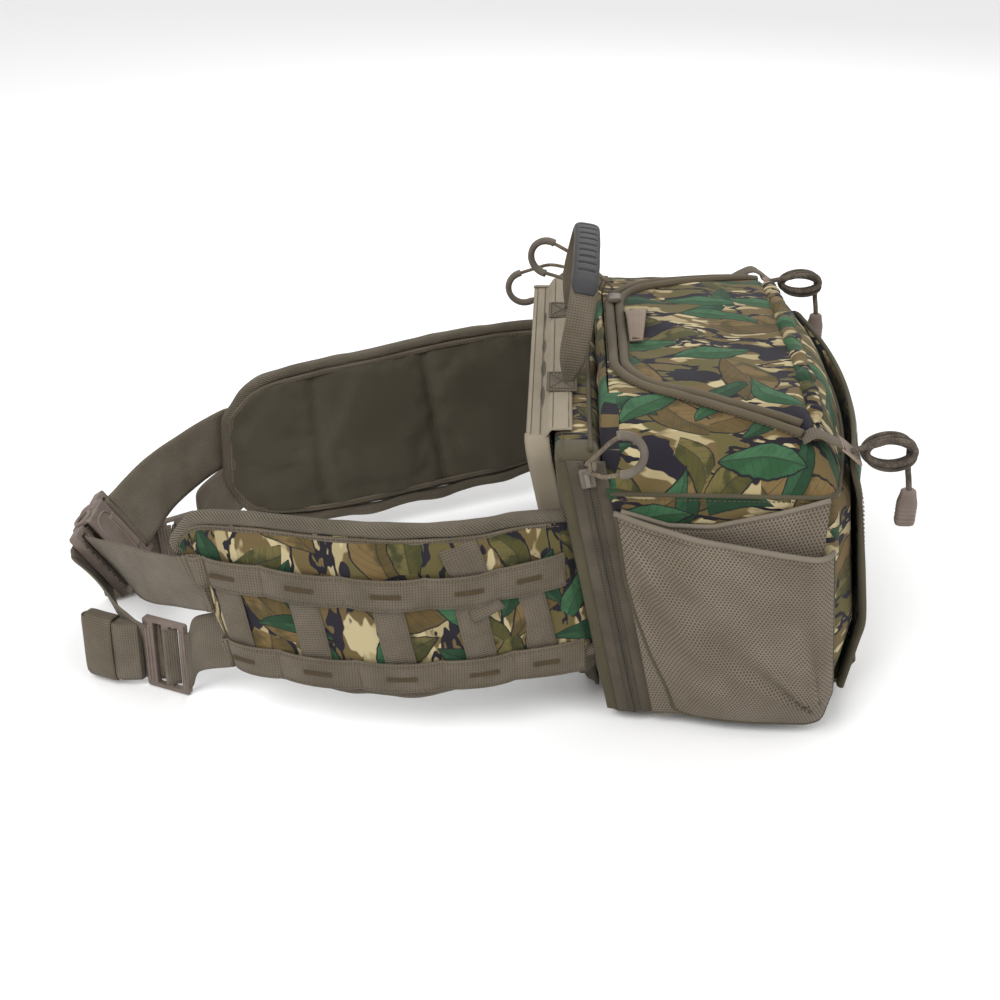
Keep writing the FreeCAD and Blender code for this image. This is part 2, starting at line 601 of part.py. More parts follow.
for name, sign in SIDES.items():
    wing = Wing(name)
    last = len(wing.rows) - 1
    out = foam + 1.6
    normals = [tuple(wing.normal(i)) for i in range(last + 1)]
    bar_x = -13.0 if name == "left" else BUCKLE_LONG + 11.0
    z_mid = 114.0 if name == "left" else 100.0
    low, high = wing.rows[last - 1]
    tip = wing.point(last - 1, (z_mid - low.z) / (high.z - low.z), out)
    low, high = wing.rows[last]
    end = wing.point(last, (z_mid - low.z) / (high.z - low.z), out + 1.6)
    bar = V(*at(bar_x, 0, 5.5))
    middle_point = (end + bar) * 0.5 + V(-12, 0, -1)
    lean_mid = tuple(V(*UP) + ACROSS)
    leans = [tuple(wing.rows[i][1] - wing.rows[i][0]) for i in (last - 1, last)]
    upper = ribbon([
        (tuple(tip), leans[0], normals[last - 1]), (tuple(end), leans[1], normals[last]),
        (tuple(middle_point), lean_mid, normals[last]), (tuple(bar), tuple(ACROSS), tuple(FACE)),
    ], BELT_WEB, WEB_THICK)
    save(name + "_upper_strap", upper)
    lock, along, across, face = ladder_lock(name)
    save(name + "_ladder_lock", lock)
    z_low = 70.0 if name == "left" else 66.0
    low, high = wing.rows[last - 1]
    tip_low = wing.point(last - 1, (z_low - low.z) / (high.z - low.z), -foam - 5.2)
    lower = ribbon([
        (tuple(tip_low), leans[0], normals[last - 1]),
        (tuple((tip_low + LOCK[name]) * 0.5 + V(-4, 5 * -sign, 2)), UP, normals[last]),
        (tuple(LOCK[name] - along * 19.5), tuple(across), tuple(face)),
    ], BELT_WEB - 2, WEB_THICK)
    save(name + "_lower_strap", lower)
    back_bar = V(*at(bar_x, 0, -7.4))
    turn_in = LOCK[name] + along * 36 - face * (4 * sign) + V(0, 0, 10)
    returning = ribbon([
        (tuple(back_bar), tuple(ACROSS), tuple(FACE)),
        (tuple(turn_in), tuple(V(*UP) + ACROSS), tuple(face)),
        (tuple(LOCK[name] + along * 19.5), tuple(across), tuple(face)),
    ], BELT_WEB, WEB_THICK)
    save(name + "_return_strap", returning)
    stack = ribbon([(tuple(LOCK[name] + along * x + face * (8.0 * sign)), tuple(across), tuple(face))
                    for x in (21, 66)], BELT_WEB - 2, 9.0)
    save(name + "_tail_stack", stack)

print("shock cord radius", SHOCK_R, "mm, zip pull cord radius", PULL_R, "mm")
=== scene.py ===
"""The hunting waist pack's looks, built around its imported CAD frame. Tables hold millimetres."""

import math

import bmesh
import bpy
import numpy as np
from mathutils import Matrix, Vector
from mathutils.bvhtree import BVHTree


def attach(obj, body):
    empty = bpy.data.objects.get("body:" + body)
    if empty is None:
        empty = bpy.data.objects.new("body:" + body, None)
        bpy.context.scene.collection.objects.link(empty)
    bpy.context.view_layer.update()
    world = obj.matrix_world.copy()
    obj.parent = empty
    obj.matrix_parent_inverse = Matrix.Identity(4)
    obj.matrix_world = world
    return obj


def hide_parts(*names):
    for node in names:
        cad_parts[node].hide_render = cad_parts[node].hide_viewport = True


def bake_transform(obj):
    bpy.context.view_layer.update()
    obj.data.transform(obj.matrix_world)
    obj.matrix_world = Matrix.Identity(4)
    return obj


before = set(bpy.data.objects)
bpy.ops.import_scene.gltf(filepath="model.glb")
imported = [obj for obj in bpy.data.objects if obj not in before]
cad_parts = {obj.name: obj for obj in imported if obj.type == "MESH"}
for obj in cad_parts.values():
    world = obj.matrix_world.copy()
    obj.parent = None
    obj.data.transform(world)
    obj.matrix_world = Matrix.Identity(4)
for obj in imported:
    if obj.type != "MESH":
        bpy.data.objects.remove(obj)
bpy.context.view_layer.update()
MM = 0.001
SIDES = {"left": -1, "right": 1}


def vec(*p):
    """A point in metres from millimetres."""
    return np.array(p, float) * MM


def unit(v):
    v = np.asarray(v, float)
    return v / (np.linalg.norm(v, axis=-1, keepdims=True) + 1e-12)


# Camera, floor and lights

def add_camera():
    data = bpy.data.cameras.new("camera")
    data.lens, data.sensor_width = 51.2, 36.0
    camera = bpy.data.objects.new("camera", data)
    bpy.context.collection.objects.link(camera)
    camera.location = (-0.0976, -1.0151, 0.6189)
    aim = Vector((-0.1395, 0.0, 0.0791)) - camera.location
    camera.rotation_euler = aim.to_track_quat("-Z", "Y").to_euler()
    bpy.context.scene.camera = camera


def area_light(name, place, size, power):
    data = bpy.data.lights.new(name, "AREA")
    data.shape, data.size, data.energy = "DISK", size, power
    light = bpy.data.objects.new(name, data)
    bpy.context.collection.objects.link(light)
    light.location = place
    light.rotation_euler = (Vector((-0.15, 0, 0.1)) - light.location).to_track_quat("-Z", "Y").to_euler()


def add_stage():
    mesh = bpy.data.meshes.new("floor")
    size, below = 12.0, -0.0004  # metres; the floor lies a hair under the piece
    corners = [(x * size, y * size, below) for x, y in ((-1, -1), (1, -1), (1, 1), (-1, 1))]
    mesh.from_pydata(corners, [], [(0, 1, 2, 3)])
    floor = bpy.data.objects.new("floor", mesh)
    bpy.context.collection.objects.link(floor)
    material = bpy.data.materials.new("floor_pale")
    material.use_nodes = True
    shader = material.node_tree.nodes["Principled BSDF"]
    shader.inputs["Base Color"].default_value = (0.93, 0.93, 0.93, 1)
    shader.inputs["Roughness"].default_value = 0.9
    mesh.materials.append(material)
    world = bpy.data.worlds.new("studio")
    world.use_nodes = True
    world.node_tree.nodes["Background"].inputs[0].default_value = (1, 1, 1, 1)
    world.node_tree.nodes["Background"].inputs[1].default_value = 0.85
    bpy.context.scene.world = world
    area_light("key", (-0.9, -1.3, 1.7), 1.2, 26)
    area_light("fill", (1.5, -0.9, 1.1), 1.6, 10)
    area_light("back", (0.2, 1.5, 1.5), 1.4, 14)
    bpy.context.scene.view_settings.view_transform = "Standard"


add_camera()
add_stage()


# Materials

class Surface:
    """Builds one procedural material. Its methods return output sockets."""

    def __init__(self, name, roughness, sheen=0.05, shine=0.15):
        self.material = bpy.data.materials.new(name)
        self.material.use_nodes = True
        self.tree = self.material.node_tree
        self.shader = self.tree.nodes["Principled BSDF"]
        for key, value in (("Roughness", roughness), ("Sheen Weight", sheen), ("Specular IOR Level", shine)):
            self.shader.inputs[key].default_value = value
        self.uv = self.node("ShaderNodeTexCoord").outputs["UV"]

    def node(self, kind, inputs=None, **properties):
        n = self.tree.nodes.new(kind)
        for key, value in properties.items():
            setattr(n, key, value)
        for key, value in (inputs or {}).items():
            if isinstance(value, bpy.types.NodeSocket):
                self.tree.links.new(value, n.inputs[key])
            else:
                n.inputs[key].default_value = value
        return n

    def math(self, operation, *values, clamp=False):
        n = self.node("ShaderNodeMath", dict(enumerate(values)), operation=operation, use_clamp=clamp)
        return n.outputs[0]

    def vmath(self, operation, *values):
        return self.node("ShaderNodeVectorMath", dict(enumerate(values)), operation=operation).outputs[0]

    def mix(self, factor, a, b):
        n = self.node("ShaderNodeMix", {0: factor, 6: self.rgba(a), 7: self.rgba(b)}, data_type="RGBA")
        return n.outputs[2]

    @staticmethod
    def rgba(value):
        return (*value, 1.0) if isinstance(value, tuple) and len(value) == 3 else value

    def split(self, vector):
        n = self.node("ShaderNodeSeparateXYZ", {0: vector})
        return n.outputs[0], n.outputs[1]

    def join(self, x, y):
        return self.node("ShaderNodeCombineXYZ", {0: x, 1: y}).outputs[0]

    def scaled(self, x, y, turn=0.0, at=(0.0, 0.0)):
        """The UV map, which is in metres, scaled, turned and shifted."""
        places = {0: self.uv, 1: (*at, 0.0), 2: (0.0, 0.0, turn), 3: (x, y, 1.0)}
        return self.node("ShaderNodeMapping", places).outputs[0]

    def noise(self, vector, scale, detail=2.0):
        values = {"Vector": vector, "Scale": scale, "Detail": detail, "Roughness": 0.5}
        return self.node("ShaderNodeTexNoise", values).outputs[0]

    def step(self, value, low, high):
        """0 below low, 1 above high, smooth between."""
        edges = {0: value, 1: low, 2: high}
        return self.node("ShaderNodeMapRange", edges, interpolation_type="SMOOTHSTEP").outputs[0]

    def mottled(self, scale, tone, light):
        """Two tones in soft clouds over the UV map."""
        return self.mix(self.step(self.noise(self.uv, scale, 3.0), 0.3, 0.7), tone, light)

    def colour(self, socket):
        self.tree.links.new(socket, self.shader.inputs["Base Color"])

    def roughness(self, socket):
        self.tree.links.new(socket, self.shader.inputs["Roughness"])

    def bump(self, height, distance, strength, under=None):
        inputs = {"Height": height, "Distance": distance, "Strength": strength}
        if under is not None:
            inputs["Normal"] = under
        normal = self.node("ShaderNodeBump", inputs).outputs[0]
        self.tree.links.new(normal, self.shader.inputs["Normal"])
        return normal

    def ribs(self, coordinate, pitch):
        """Round ribs across one coordinate in metres: 0 in the grooves, 1 on the crowns."""
        angle = self.math("MULTIPLY_ADD", coordinate, math.pi / pitch, 0.0)
        return self.math("ABSOLUTE", self.math("SINE", angle))


def weave(s, pitch=0.0006):
    """The height of a plain weave on the UV map."""
    u, v = s.split(s.uv)
    return s.math("MULTIPLY", s.ribs(u, pitch), s.ribs(v, pitch))


def leaf_layer(s, under, scale, angle, sway, width, shades, share, seed):
    """Scatters outlined leaves on a cell grid, one in each of a share of the cells, over a colour."""
    where = s.scaled(scale, scale, angle, seed)
    bend = s.noise(where, 0.9, 1.0)
    where = s.vmath("ADD", where, s.join(s.math("MULTIPLY", bend, 0.55), 0.0))
    cell = s.node("ShaderNodeTexVoronoi", {"Vector": where, "Scale": 1.0, "Randomness": 0.85},
                  voronoi_dimensions="2D")
    local = s.vmath("SUBTRACT", where, cell.outputs["Position"])
    pick = s.node("ShaderNodeSeparateColor", {0: cell.outputs["Color"]})
    turn = s.math("MULTIPLY", s.math("SUBTRACT", pick.outputs[0], 0.5), sway)
    turned = s.node("ShaderNodeVectorRotate", {"Vector": local, "Angle": turn}, rotation_type="Z_AXIS")
    x, y = s.split(turned.outputs[0])
    curl = s.math("MULTIPLY", s.math("MULTIPLY", x, x), s.math("MULTIPLY_ADD", pick.outputs[1], 1.6, -0.8))
    side = s.math("ADD", y, curl)
    ripple = s.math("MULTIPLY", s.math("SUBTRACT", s.noise(where, 7.0, 2.0), 0.5), 0.05)
    away = s.math("ADD", s.math("ABSOLUTE", side), ripple)
    taper = s.math("SUBTRACT", 1.0, s.math("MULTIPLY", s.math("MULTIPLY", x, x), 3.0))
    inside = s.math("SUBTRACT", s.math("MULTIPLY", taper, width), away)
    shown = s.math("LESS_THAN", pick.outputs[2], share)
    mask = s.math("MULTIPLY", s.step(inside, 0.0, 0.012), shown)
    core = s.math("MULTIPLY", s.step(inside, 0.018, 0.03), shown)
    tone = s.mix(s.step(side, -0.015, 0.015), shades[0], shades[1])
    tone = s.mix(s.step(s.noise(where, 4.0, 3.0), 0.45, 0.62), tone, shades[2])
    veins = s.ribs(s.math("MULTIPLY_ADD", s.math("ABSOLUTE", side), -0.9, x), 0.11)
    veins = s.math("MAXIMUM", s.step(veins, 0.2, 0.0), s.step(s.math("ABSOLUTE", side), 0.014, 0.004))
    tone = s.mix(s.math("MULTIPLY", veins, 0.6), tone, (0.02, 0.02, 0.018))
    return s.mix(core, s.mix(mask, under, (0.012, 0.012, 0.014)), tone)


def camouflage():
    """A leaf and bark camouflage of our own: bark and layers of outlined leaves."""
    s = Surface("camouflage", 0.85)
    drift = s.noise(s.scaled(17.0, 42.0, 0.1), 1.0, 3.0)
    colour = s.mix(s.step(drift, 0.44, 0.47), (0.33, 0.27, 0.145), (0.12, 0.085, 0.035))
    pale = s.noise(s.scaled(24.0, 60.0, 0.1, (2.2, 6.1)), 1.0, 2.0)
    colour = s.mix(s.step(pale, 0.57, 0.59), colour, (0.43, 0.36, 0.205))
    dull = s.noise(s.scaled(14.0, 20.0, 0.4, (8.0, 1.0)), 1.0, 2.0)
    colour = s.mix(s.step(dull, 0.55, 0.57), colour, (0.10, 0.082, 0.03))
    cracks = s.noise(s.scaled(13.0, 36.0, 0.1, (3.1, 0.4)), 1.0, 4.0)
    crack = s.math("ABSOLUTE", s.math("SUBTRACT", cracks, 0.5))
    colour = s.mix(s.step(crack, 0.026, 0.02), colour, (0.014, 0.012, 0.017))
    blot = s.noise(s.scaled(22.0, 40.0, 0.2, (1.3, 5.2)), 1.0, 2.0)
    colour = s.mix(s.step(blot, 0.60, 0.61), colour, (0.016, 0.014, 0.02))
    brown = ((0.10, 0.066, 0.024), (0.15, 0.10, 0.04), (0.075, 0.055, 0.02))
    olive = ((0.065, 0.06, 0.018), (0.12, 0.10, 0.035), (0.045, 0.045, 0.016))
    green = ((0.022, 0.068, 0.028), (0.042, 0.112, 0.052), (0.03, 0.085, 0.038))
    deep = ((0.014, 0.042, 0.02), (0.026, 0.07, 0.034), (0.016, 0.05, 0.022))
    colour = leaf_layer(s, colour, 15.0, 0.5, 2.6, 0.27, brown, 0.62, (0.4, 2.3))
    colour = leaf_layer(s, colour, 20.0, 0.1, 2.2, 0.22, olive, 0.5, (5.1, 1.2))
    colour = leaf_layer(s, colour, 22.0, -0.6, 2.6, 0.2, deep, 0.42, (2.7, 9.4))
    colour = leaf_layer(s, colour, 18.0, -0.1, 1.7, 0.2, green, 0.5, (9.4, 7.7))
    s.colour(colour)
    under = s.bump(weave(s), 0.00025, 0.5)
    s.bump(s.noise(s.uv, 60.0, 3.0), 0.0015, 0.25, under)
    return s.material


def plain_cloth(name, tone, light, pitch=0.0007, rough=0.8):
    s = Surface(name, rough, sheen=0.06)
    cloud = s.noise(s.uv, 14.0, 4.0)
    colour = s.mix(s.step(cloud, 0.3, 0.7), tone, light)
    # The weave's crowns are lightened towards half again the light tone: a painted highlight on the tops of
    # the threads.
    fade = s.math("MULTIPLY", weave(s, pitch), 0.35)
    s.colour(s.mix(fade, colour, tuple(min(1.0, c * 1.5) for c in light)))
    under = s.bump(weave(s, pitch), 0.0003, 0.6)
    s.bump(s.noise(s.uv, 45.0, 3.0), 0.0012, 0.3, under)
    return s.material


def webbing_cloth(name, tone, light, pitch=0.0013):
    """Ribbed webbing: u runs across the strap and v along it."""
    s = Surface(name, 0.82)
    u, v = s.split(s.uv)
    weft = s.ribs(v, pitch)
    warp = s.ribs(u, pitch * 1.15)
    height = s.math("MULTIPLY_ADD", warp, 0.4, s.math("MULTIPLY", weft, 0.6))
    colour = s.mottled(30.0, tone, light)
    # The grooves between the ribs are painted dark, a third of the tone: painted shade.
    s.colour(s.mix(s.step(height, 0.55, 0.1), colour, tuple(c * 0.35 for c in tone)))
    s.bump(height, 0.0005, 0.9)
    return s.material


def binding_cloth():
    """Diagonal ribbed tape: v runs along it."""
    s = Surface("binding_tape", 0.82)
    u, v = s.split(s.uv)
    diagonal = s.ribs(s.math("ADD", u, v), 0.0024)
    thread = s.ribs(s.math("SUBTRACT", u, v), 0.0007)
    colour = s.mottled(25.0, (0.115, 0.095, 0.066), (0.165, 0.138, 0.10))
    # The grooves between the diagonal ribs are painted near black: painted shade.
    s.colour(s.mix(s.step(diagonal, 0.5, 0.05), colour, (0.035, 0.03, 0.022)))
    under = s.bump(diagonal, 0.0009, 1.0)
    s.bump(thread, 0.0002, 0.5, under)
    return s.material


def mesh_cloth():
    """Knitted stretch mesh with rows of small holes."""
    s = Surface("stretch_mesh", 0.88, shine=0.12)
    u, v = s.split(s.uv)
    row = s.math("FLOOR", s.math("DIVIDE", v, 0.0021))
    shifted = s.math("MULTIPLY_ADD", row, 0.00125, u)
    hole_u = s.ribs(shifted, 0.0025)
    hole_v = s.ribs(v, 0.0021)
    hole = s.math("MULTIPLY", s.step(hole_u, 0.55, 0.9), s.step(hole_v, 0.35, 0.7))
    fade = s.step(s.noise(s.uv, 22.0, 3.0), 0.25, 0.75)
    yarn = s.mix(fade, (0.145, 0.117, 0.085), (0.20, 0.165, 0.125))
    # The holes are painted dark: painted shade seen through the mesh.
    s.colour(s.mix(s.math("MULTIPLY", hole, 0.85), yarn, (0.05, 0.042, 0.034)))
    s.bump(s.math("SUBTRACT", 1.0, hole), 0.0006, 0.8)
    return s.material


def zip_cloth():
    """Zip tape: u is measured from the slit, v along it."""
    s = Surface("zip_tape", 0.78)
    u, v = s.split(s.uv)
    away = s.math("ABSOLUTE", u)
    slit = s.step(away, 0.0007, 0.0003)
    coil = s.math("MULTIPLY", s.step(away, 0.0036, 0.0030), s.ribs(v, 0.0011))
    row = s.step(s.math("ABSOLUTE", s.math("SUBTRACT", away, 0.0042)), 0.0007, 0.0003)
    rows = s.math("MULTIPLY", row, s.step(s.ribs(v, 0.0022), 0.35, 0.6))
    colour = s.mottled(30.0, (0.058, 0.047, 0.034), (0.085, 0.07, 0.052))
    colour = s.mix(s.math("MULTIPLY", rows, 0.7), colour, (0.04, 0.033, 0.026))
    # The slit between the coils is painted near black: painted shade in the gap.
    s.colour(s.mix(slit, colour, (0.012, 0.011, 0.01)))
    height = s.math("SUBTRACT", s.math("MULTIPLY_ADD", coil, 0.5, s.math("MULTIPLY", rows, -0.4)), slit)
    s.bump(height, 0.0006, 0.9)
    return s.material


def moulded(name, tone, light, rough):
    """Moulded plastic or rubber with a fine grain and paler sharp edges."""
    s = Surface(name, rough, sheen=0.0, shine=0.3)
    place = s.node("ShaderNodeTexCoord").outputs["Object"]
    cloud = s.noise(place, 70.0, 3.0)
    edge = s.node("ShaderNodeNewGeometry").outputs["Pointiness"]
    colour = s.mix(s.step(cloud, 0.3, 0.7), tone, light)
    # Sharp convex edges, where pointiness is high, are lightened towards a paler tone.
    pale_edge_tone = tuple(min(1, c * 1.8) for c in light)
    s.colour(s.mix(s.math("MULTIPLY", s.step(edge, 0.52, 0.6), 0.35), colour, pale_edge_tone))
    s.roughness(s.math("MULTIPLY_ADD", cloud, 0.2, rough - 0.1))
    s.bump(s.noise(place, 1800.0, 2.0), 0.0002, 0.5)
    return s.material


def braid_cloth(name, tone, light, pitch=0.0016):
    """Braided cord: u runs round it and v along it."""
    s = Surface(name, 0.8, shine=0.2)
    u, v = s.split(s.uv)
    one = s.ribs(s.math("ADD", u, v), pitch)
    other = s.ribs(s.math("SUBTRACT", u, v), pitch)
    height = s.math("MAXIMUM", one, other)
    # The braid's hollows are painted at under half the tone: painted shade between the crowns.
    colour = s.mix(s.step(height, 0.7, 1.0), tuple(c * 0.45 for c in tone), light)
    s.colour(s.mix(s.step(s.noise(s.uv, 90.0, 2.0), 0.4, 0.65), colour, tone))
    s.bump(height, 0.0004, 0.9)
    return s.material


CAMO = camouflage()
PAD_CLOTH = plain_cloth("pad_cloth", (0.05, 0.043, 0.028), (0.07, 0.06, 0.041), rough=0.7)
BACK_CLOTH = plain_cloth("back_cloth", (0.20, 0.168, 0.12), (0.255, 0.216, 0.158))
GUSSET_CLOTH = plain_cloth("gusset_cloth", (0.05, 0.042, 0.024), (0.075, 0.064, 0.04), 0.0012)
WELT_CLOTH = plain_cloth("welt_cloth", (0.075, 0.058, 0.036), (0.105, 0.084, 0.055))
LINING = plain_cloth("lining", (0.05, 0.045, 0.038), (0.075, 0.068, 0.056))
WEBBING = webbing_cloth("webbing", (0.098, 0.08, 0.056), (0.138, 0.114, 0.084), 0.0019)
WIDE_WEBBING = webbing_cloth("belt_webbing", (0.115, 0.095, 0.07), (0.155, 0.13, 0.099), 0.0018)
PALE_WEBBING = webbing_cloth("pale_webbing", (0.22, 0.168, 0.13), (0.29, 0.225, 0.175), 0.0012)
BINDING = binding_cloth()
MESH = mesh_cloth()
MESH_HEM = plain_cloth("mesh_hem", (0.13, 0.108, 0.08), (0.175, 0.148, 0.114), 0.0011)
ZIP = zip_cloth()
ZIP_TEETH = plain_cloth("zip_teeth", (0.055, 0.046, 0.034), (0.08, 0.068, 0.052), 0.0004, 0.5)
THREAD = plain_cloth("thread", (0.085, 0.066, 0.04), (0.12, 0.095, 0.06), 0.0004)
TACK = plain_cloth("bar_tack", (0.06, 0.041, 0.019), (0.088, 0.062, 0.031), 0.0005)
PLASTIC = moulded("buckle_plastic", (0.115, 0.086, 0.07), (0.155, 0.122, 0.102), 0.5)
# Near-black for the bottoms of the grip's slots: painted shade.
PAINTED_SLOT_SHADE = moulded("slot_shadow", (0.004, 0.004, 0.005), (0.006, 0.006, 0.007), 0.8)
RUBBER = moulded("grip_rubber", (0.024, 0.024, 0.026), (0.036, 0.036, 0.038), 0.6)
SLEEVE = moulded("sleeve_rubber", (0.09, 0.074, 0.056), (0.12, 0.10, 0.078), 0.6)
METAL = moulded("slider_paint", (0.085, 0.072, 0.054), (0.13, 0.112, 0.088), 0.45)
BRAID = braid_cloth("cord_braid", (0.13, 0.10, 0.068), (0.21, 0.172, 0.122), 0.0013)


# Mesh helpers. Points are millimetres until build() makes them metres.

UP = np.array([0.0, 0.0, 1.0])


def add_piece(name, data, body, replaces=(), blend=None):
    """Adds a piece to the scene and says what it rides on and stands for."""
    piece = bpy.data.objects.new(name, data)
    bpy.context.collection.objects.link(piece)
    if blend:
        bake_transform(piece)
    else:
        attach(piece, body)
    if replaces:
        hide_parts(*replaces)
    return piece


def build(name, verts, faces, uvs, material, body, slot, replaces=(), blend=None):
    """Makes a piece from points, faces and one UV (in mm) for each face corner."""
    mesh = bpy.data.meshes.new(name)
    mesh.from_pydata((np.asarray(verts, float) * MM).tolist(), [], [list(map(int, f)) for f in faces])
    layer = mesh.uv_layers.new(name="UVMap")
    layer.data.foreach_set("uv", (np.asarray(uvs, float) * MM).ravel())
    mesh.polygons.foreach_set("use_smooth", [True] * len(mesh.polygons))
    mesh.materials.append(material)
    work = bmesh.new()
    work.from_mesh(mesh)
    bmesh.ops.recalc_face_normals(work, faces=work.faces)
    work.to_mesh(mesh)
    work.free()
    mesh.update()
    return add_piece(name, mesh, body, replaces, blend)


class Parts:
    """Collects meshes so that many small ones make one piece."""

    def __init__(self):
        self.verts, self.faces, self.uvs = [], [], []

    def add(self, verts, faces, uvs):
        base = len(self.verts)
        self.verts.extend(np.asarray(verts, float).reshape(-1, 3).tolist())
        self.faces.extend([base + i for i in f] for f in faces)
        self.uvs.extend(np.asarray(uvs, float).reshape(-1, 2).tolist())
        return self

    def build(self, name, *args, **settings):
        return build(name, self.verts, self.faces, self.uvs, *args, **settings)


def lengths(points):
    """Running length along a row of points."""
    steps = np.linalg.norm(np.diff(points, axis=0), axis=1)
    return np.concatenate([[0.0], np.cumsum(steps)])


def grid(points, uv=None, wrap_i=False, wrap_j=False, cap=False):
    """Faces over an n x m array of points. The UV array has one more row or column where it wraps."""
    points = np.asarray(points, float)
    n, m = points.shape[:2]
    rows, cols = (n if wrap_i else n - 1), (m if wrap_j else m - 1)
    if uv is None:
        along = lengths(np.vstack([points[:, m // 2], points[:1, m // 2]]))[:rows + 1]
        across = lengths(np.vstack([points[n // 2], points[n // 2, :1]]))[:cols + 1]
        uv = np.stack(np.meshgrid(across, along), axis=-1)
    i, j = np.meshgrid(np.arange(rows), np.arange(cols), indexing="ij")
    i, j = i.ravel(), j.ravel()
    i2, j2 = (i + 1) % n, (j + 1) % m
    faces = np.stack([i * m + j, i2 * m + j, i2 * m + j2, i * m + j2], axis=1).tolist()
    uvs = np.stack([uv[i, j], uv[i + 1, j], uv[i + 1, j + 1], uv[i, j + 1]], axis=1).reshape(-1, 2)
    if cap:
        for k in (0, n - 1):
            faces.append([k * m + c for c in range(m)])
            middle = points[k].mean(axis=0)
            e1 = unit(points[k, 0] - middle)
            e2 = unit(points[k, m // 4] - middle)
            uvs = np.vstack([uvs, np.stack([(points[k] - middle) @ e1, (points[k] - middle) @ e2], axis=1)])
    return points.reshape(-1, 3), faces, uvs


def closed_ring(ring, uv, end_uv):
    """Faces over a flattened ring, with strips that join its upper and lower half at both ends."""
    verts, faces, uvs = grid(ring, uv, wrap_j=True)
    rows, m = ring.shape[:2]
    corners = []
    for k in (0, rows - 1):
        for j in range(m // 2 - 1):
            faces.append([k * m + j, k * m + j + 1, k * m + m - 2 - j, k * m + m - 1 - j])
            corners += [end_uv[k, j], end_uv[k, j + 1], end_uv[k, j + 1], end_uv[k, j]]
    return verts, faces, np.vstack([uvs, corners])


def surface_normals(points, flip=False):
    """Unit normals of an n x m grid of points."""
    di = np.gradient(points, axis=0)
    dj = np.gradient(points, axis=1)
    n = unit(np.cross(di, dj))
    return -n if flip else n


def shell(points, thick, uv=None, flip=False):
    """A sheet with thickness: the grid's two faces joined round its rim."""
    n, m = points.shape[:2]
    normal = surface_normals(points, flip) * (thick / 2)
    if uv is None:
        across = lengths(points[n // 2])
        along = lengths(points[:, m // 2])
        uv = np.stack(np.meshgrid(across, along), axis=-1)
    ring = np.concatenate([points + normal, (points - normal)[:, ::-1]], axis=1)
    ring_uv = np.concatenate([uv, uv[:, ::-1], uv[:, :1]], axis=1)
    return closed_ring(ring, ring_uv, uv)


def smooth_path(points, step=3.0, closed=False):
    """Points every few mm along a centripetal Catmull-Rom curve. Extra columns ride along."""
    p = np.asarray(points, float)
    first = p[-1] if closed else 2 * p[0] - p[1]
    last = [p[0], p[1]] if closed else [2 * p[-1] - p[-2]]
    q = np.vstack([first, p, *last])
    out = []
    for k in range(1, len(q) - 2):
        p0, p1, p2, p3 = q[k - 1:k + 3]
        t0 = 0.0
        t1 = t0 + max(1e-6, np.linalg.norm(p1[:3] - p0[:3])) ** 0.5
        t2 = t1 + max(1e-6, np.linalg.norm(p2[:3] - p1[:3])) ** 0.5
        t3 = t2 + max(1e-6, np.linalg.norm(p3[:3] - p2[:3])) ** 0.5
        count = max(2, int(np.linalg.norm(p2[:3] - p1[:3]) / step))
        t = np.linspace(t1, t2, count, endpoint=False)[:, None]
        a1 = (t1 - t) / (t1 - t0) * p0 + (t - t0) / (t1 - t0) * p1
        a2 = (t2 - t) / (t2 - t1) * p1 + (t - t1) / (t2 - t1) * p2
        a3 = (t3 - t) / (t3 - t2) * p2 + (t - t2) / (t3 - t2) * p3
        b1 = (t2 - t) / (t2 - t0) * a1 + (t - t0) / (t2 - t0) * a2
        b2 = (t3 - t) / (t3 - t1) * a2 + (t - t1) / (t3 - t1) * a3
        out.append((t2 - t) / (t2 - t1) * b1 + (t - t1) / (t2 - t1) * b2)
    if not closed:
        out.append(p[-1:])
    return np.vstack(out)


def ripple(points, seed, wavelength):
    """Smooth noise from -1 to 1 over points, the same in every run."""
    rng = np.random.default_rng(seed)
    total = np.zeros(points.shape[:-1])
    count = 7
    for _ in range(count):
        direction = unit(rng.normal(size=3)) * 2 * math.pi / (wavelength * rng.uniform(0.7, 1.6))
        total += np.sin(points @ direction + rng.uniform(0, 2 * math.pi))
    return total / math.sqrt(count) / 1.4


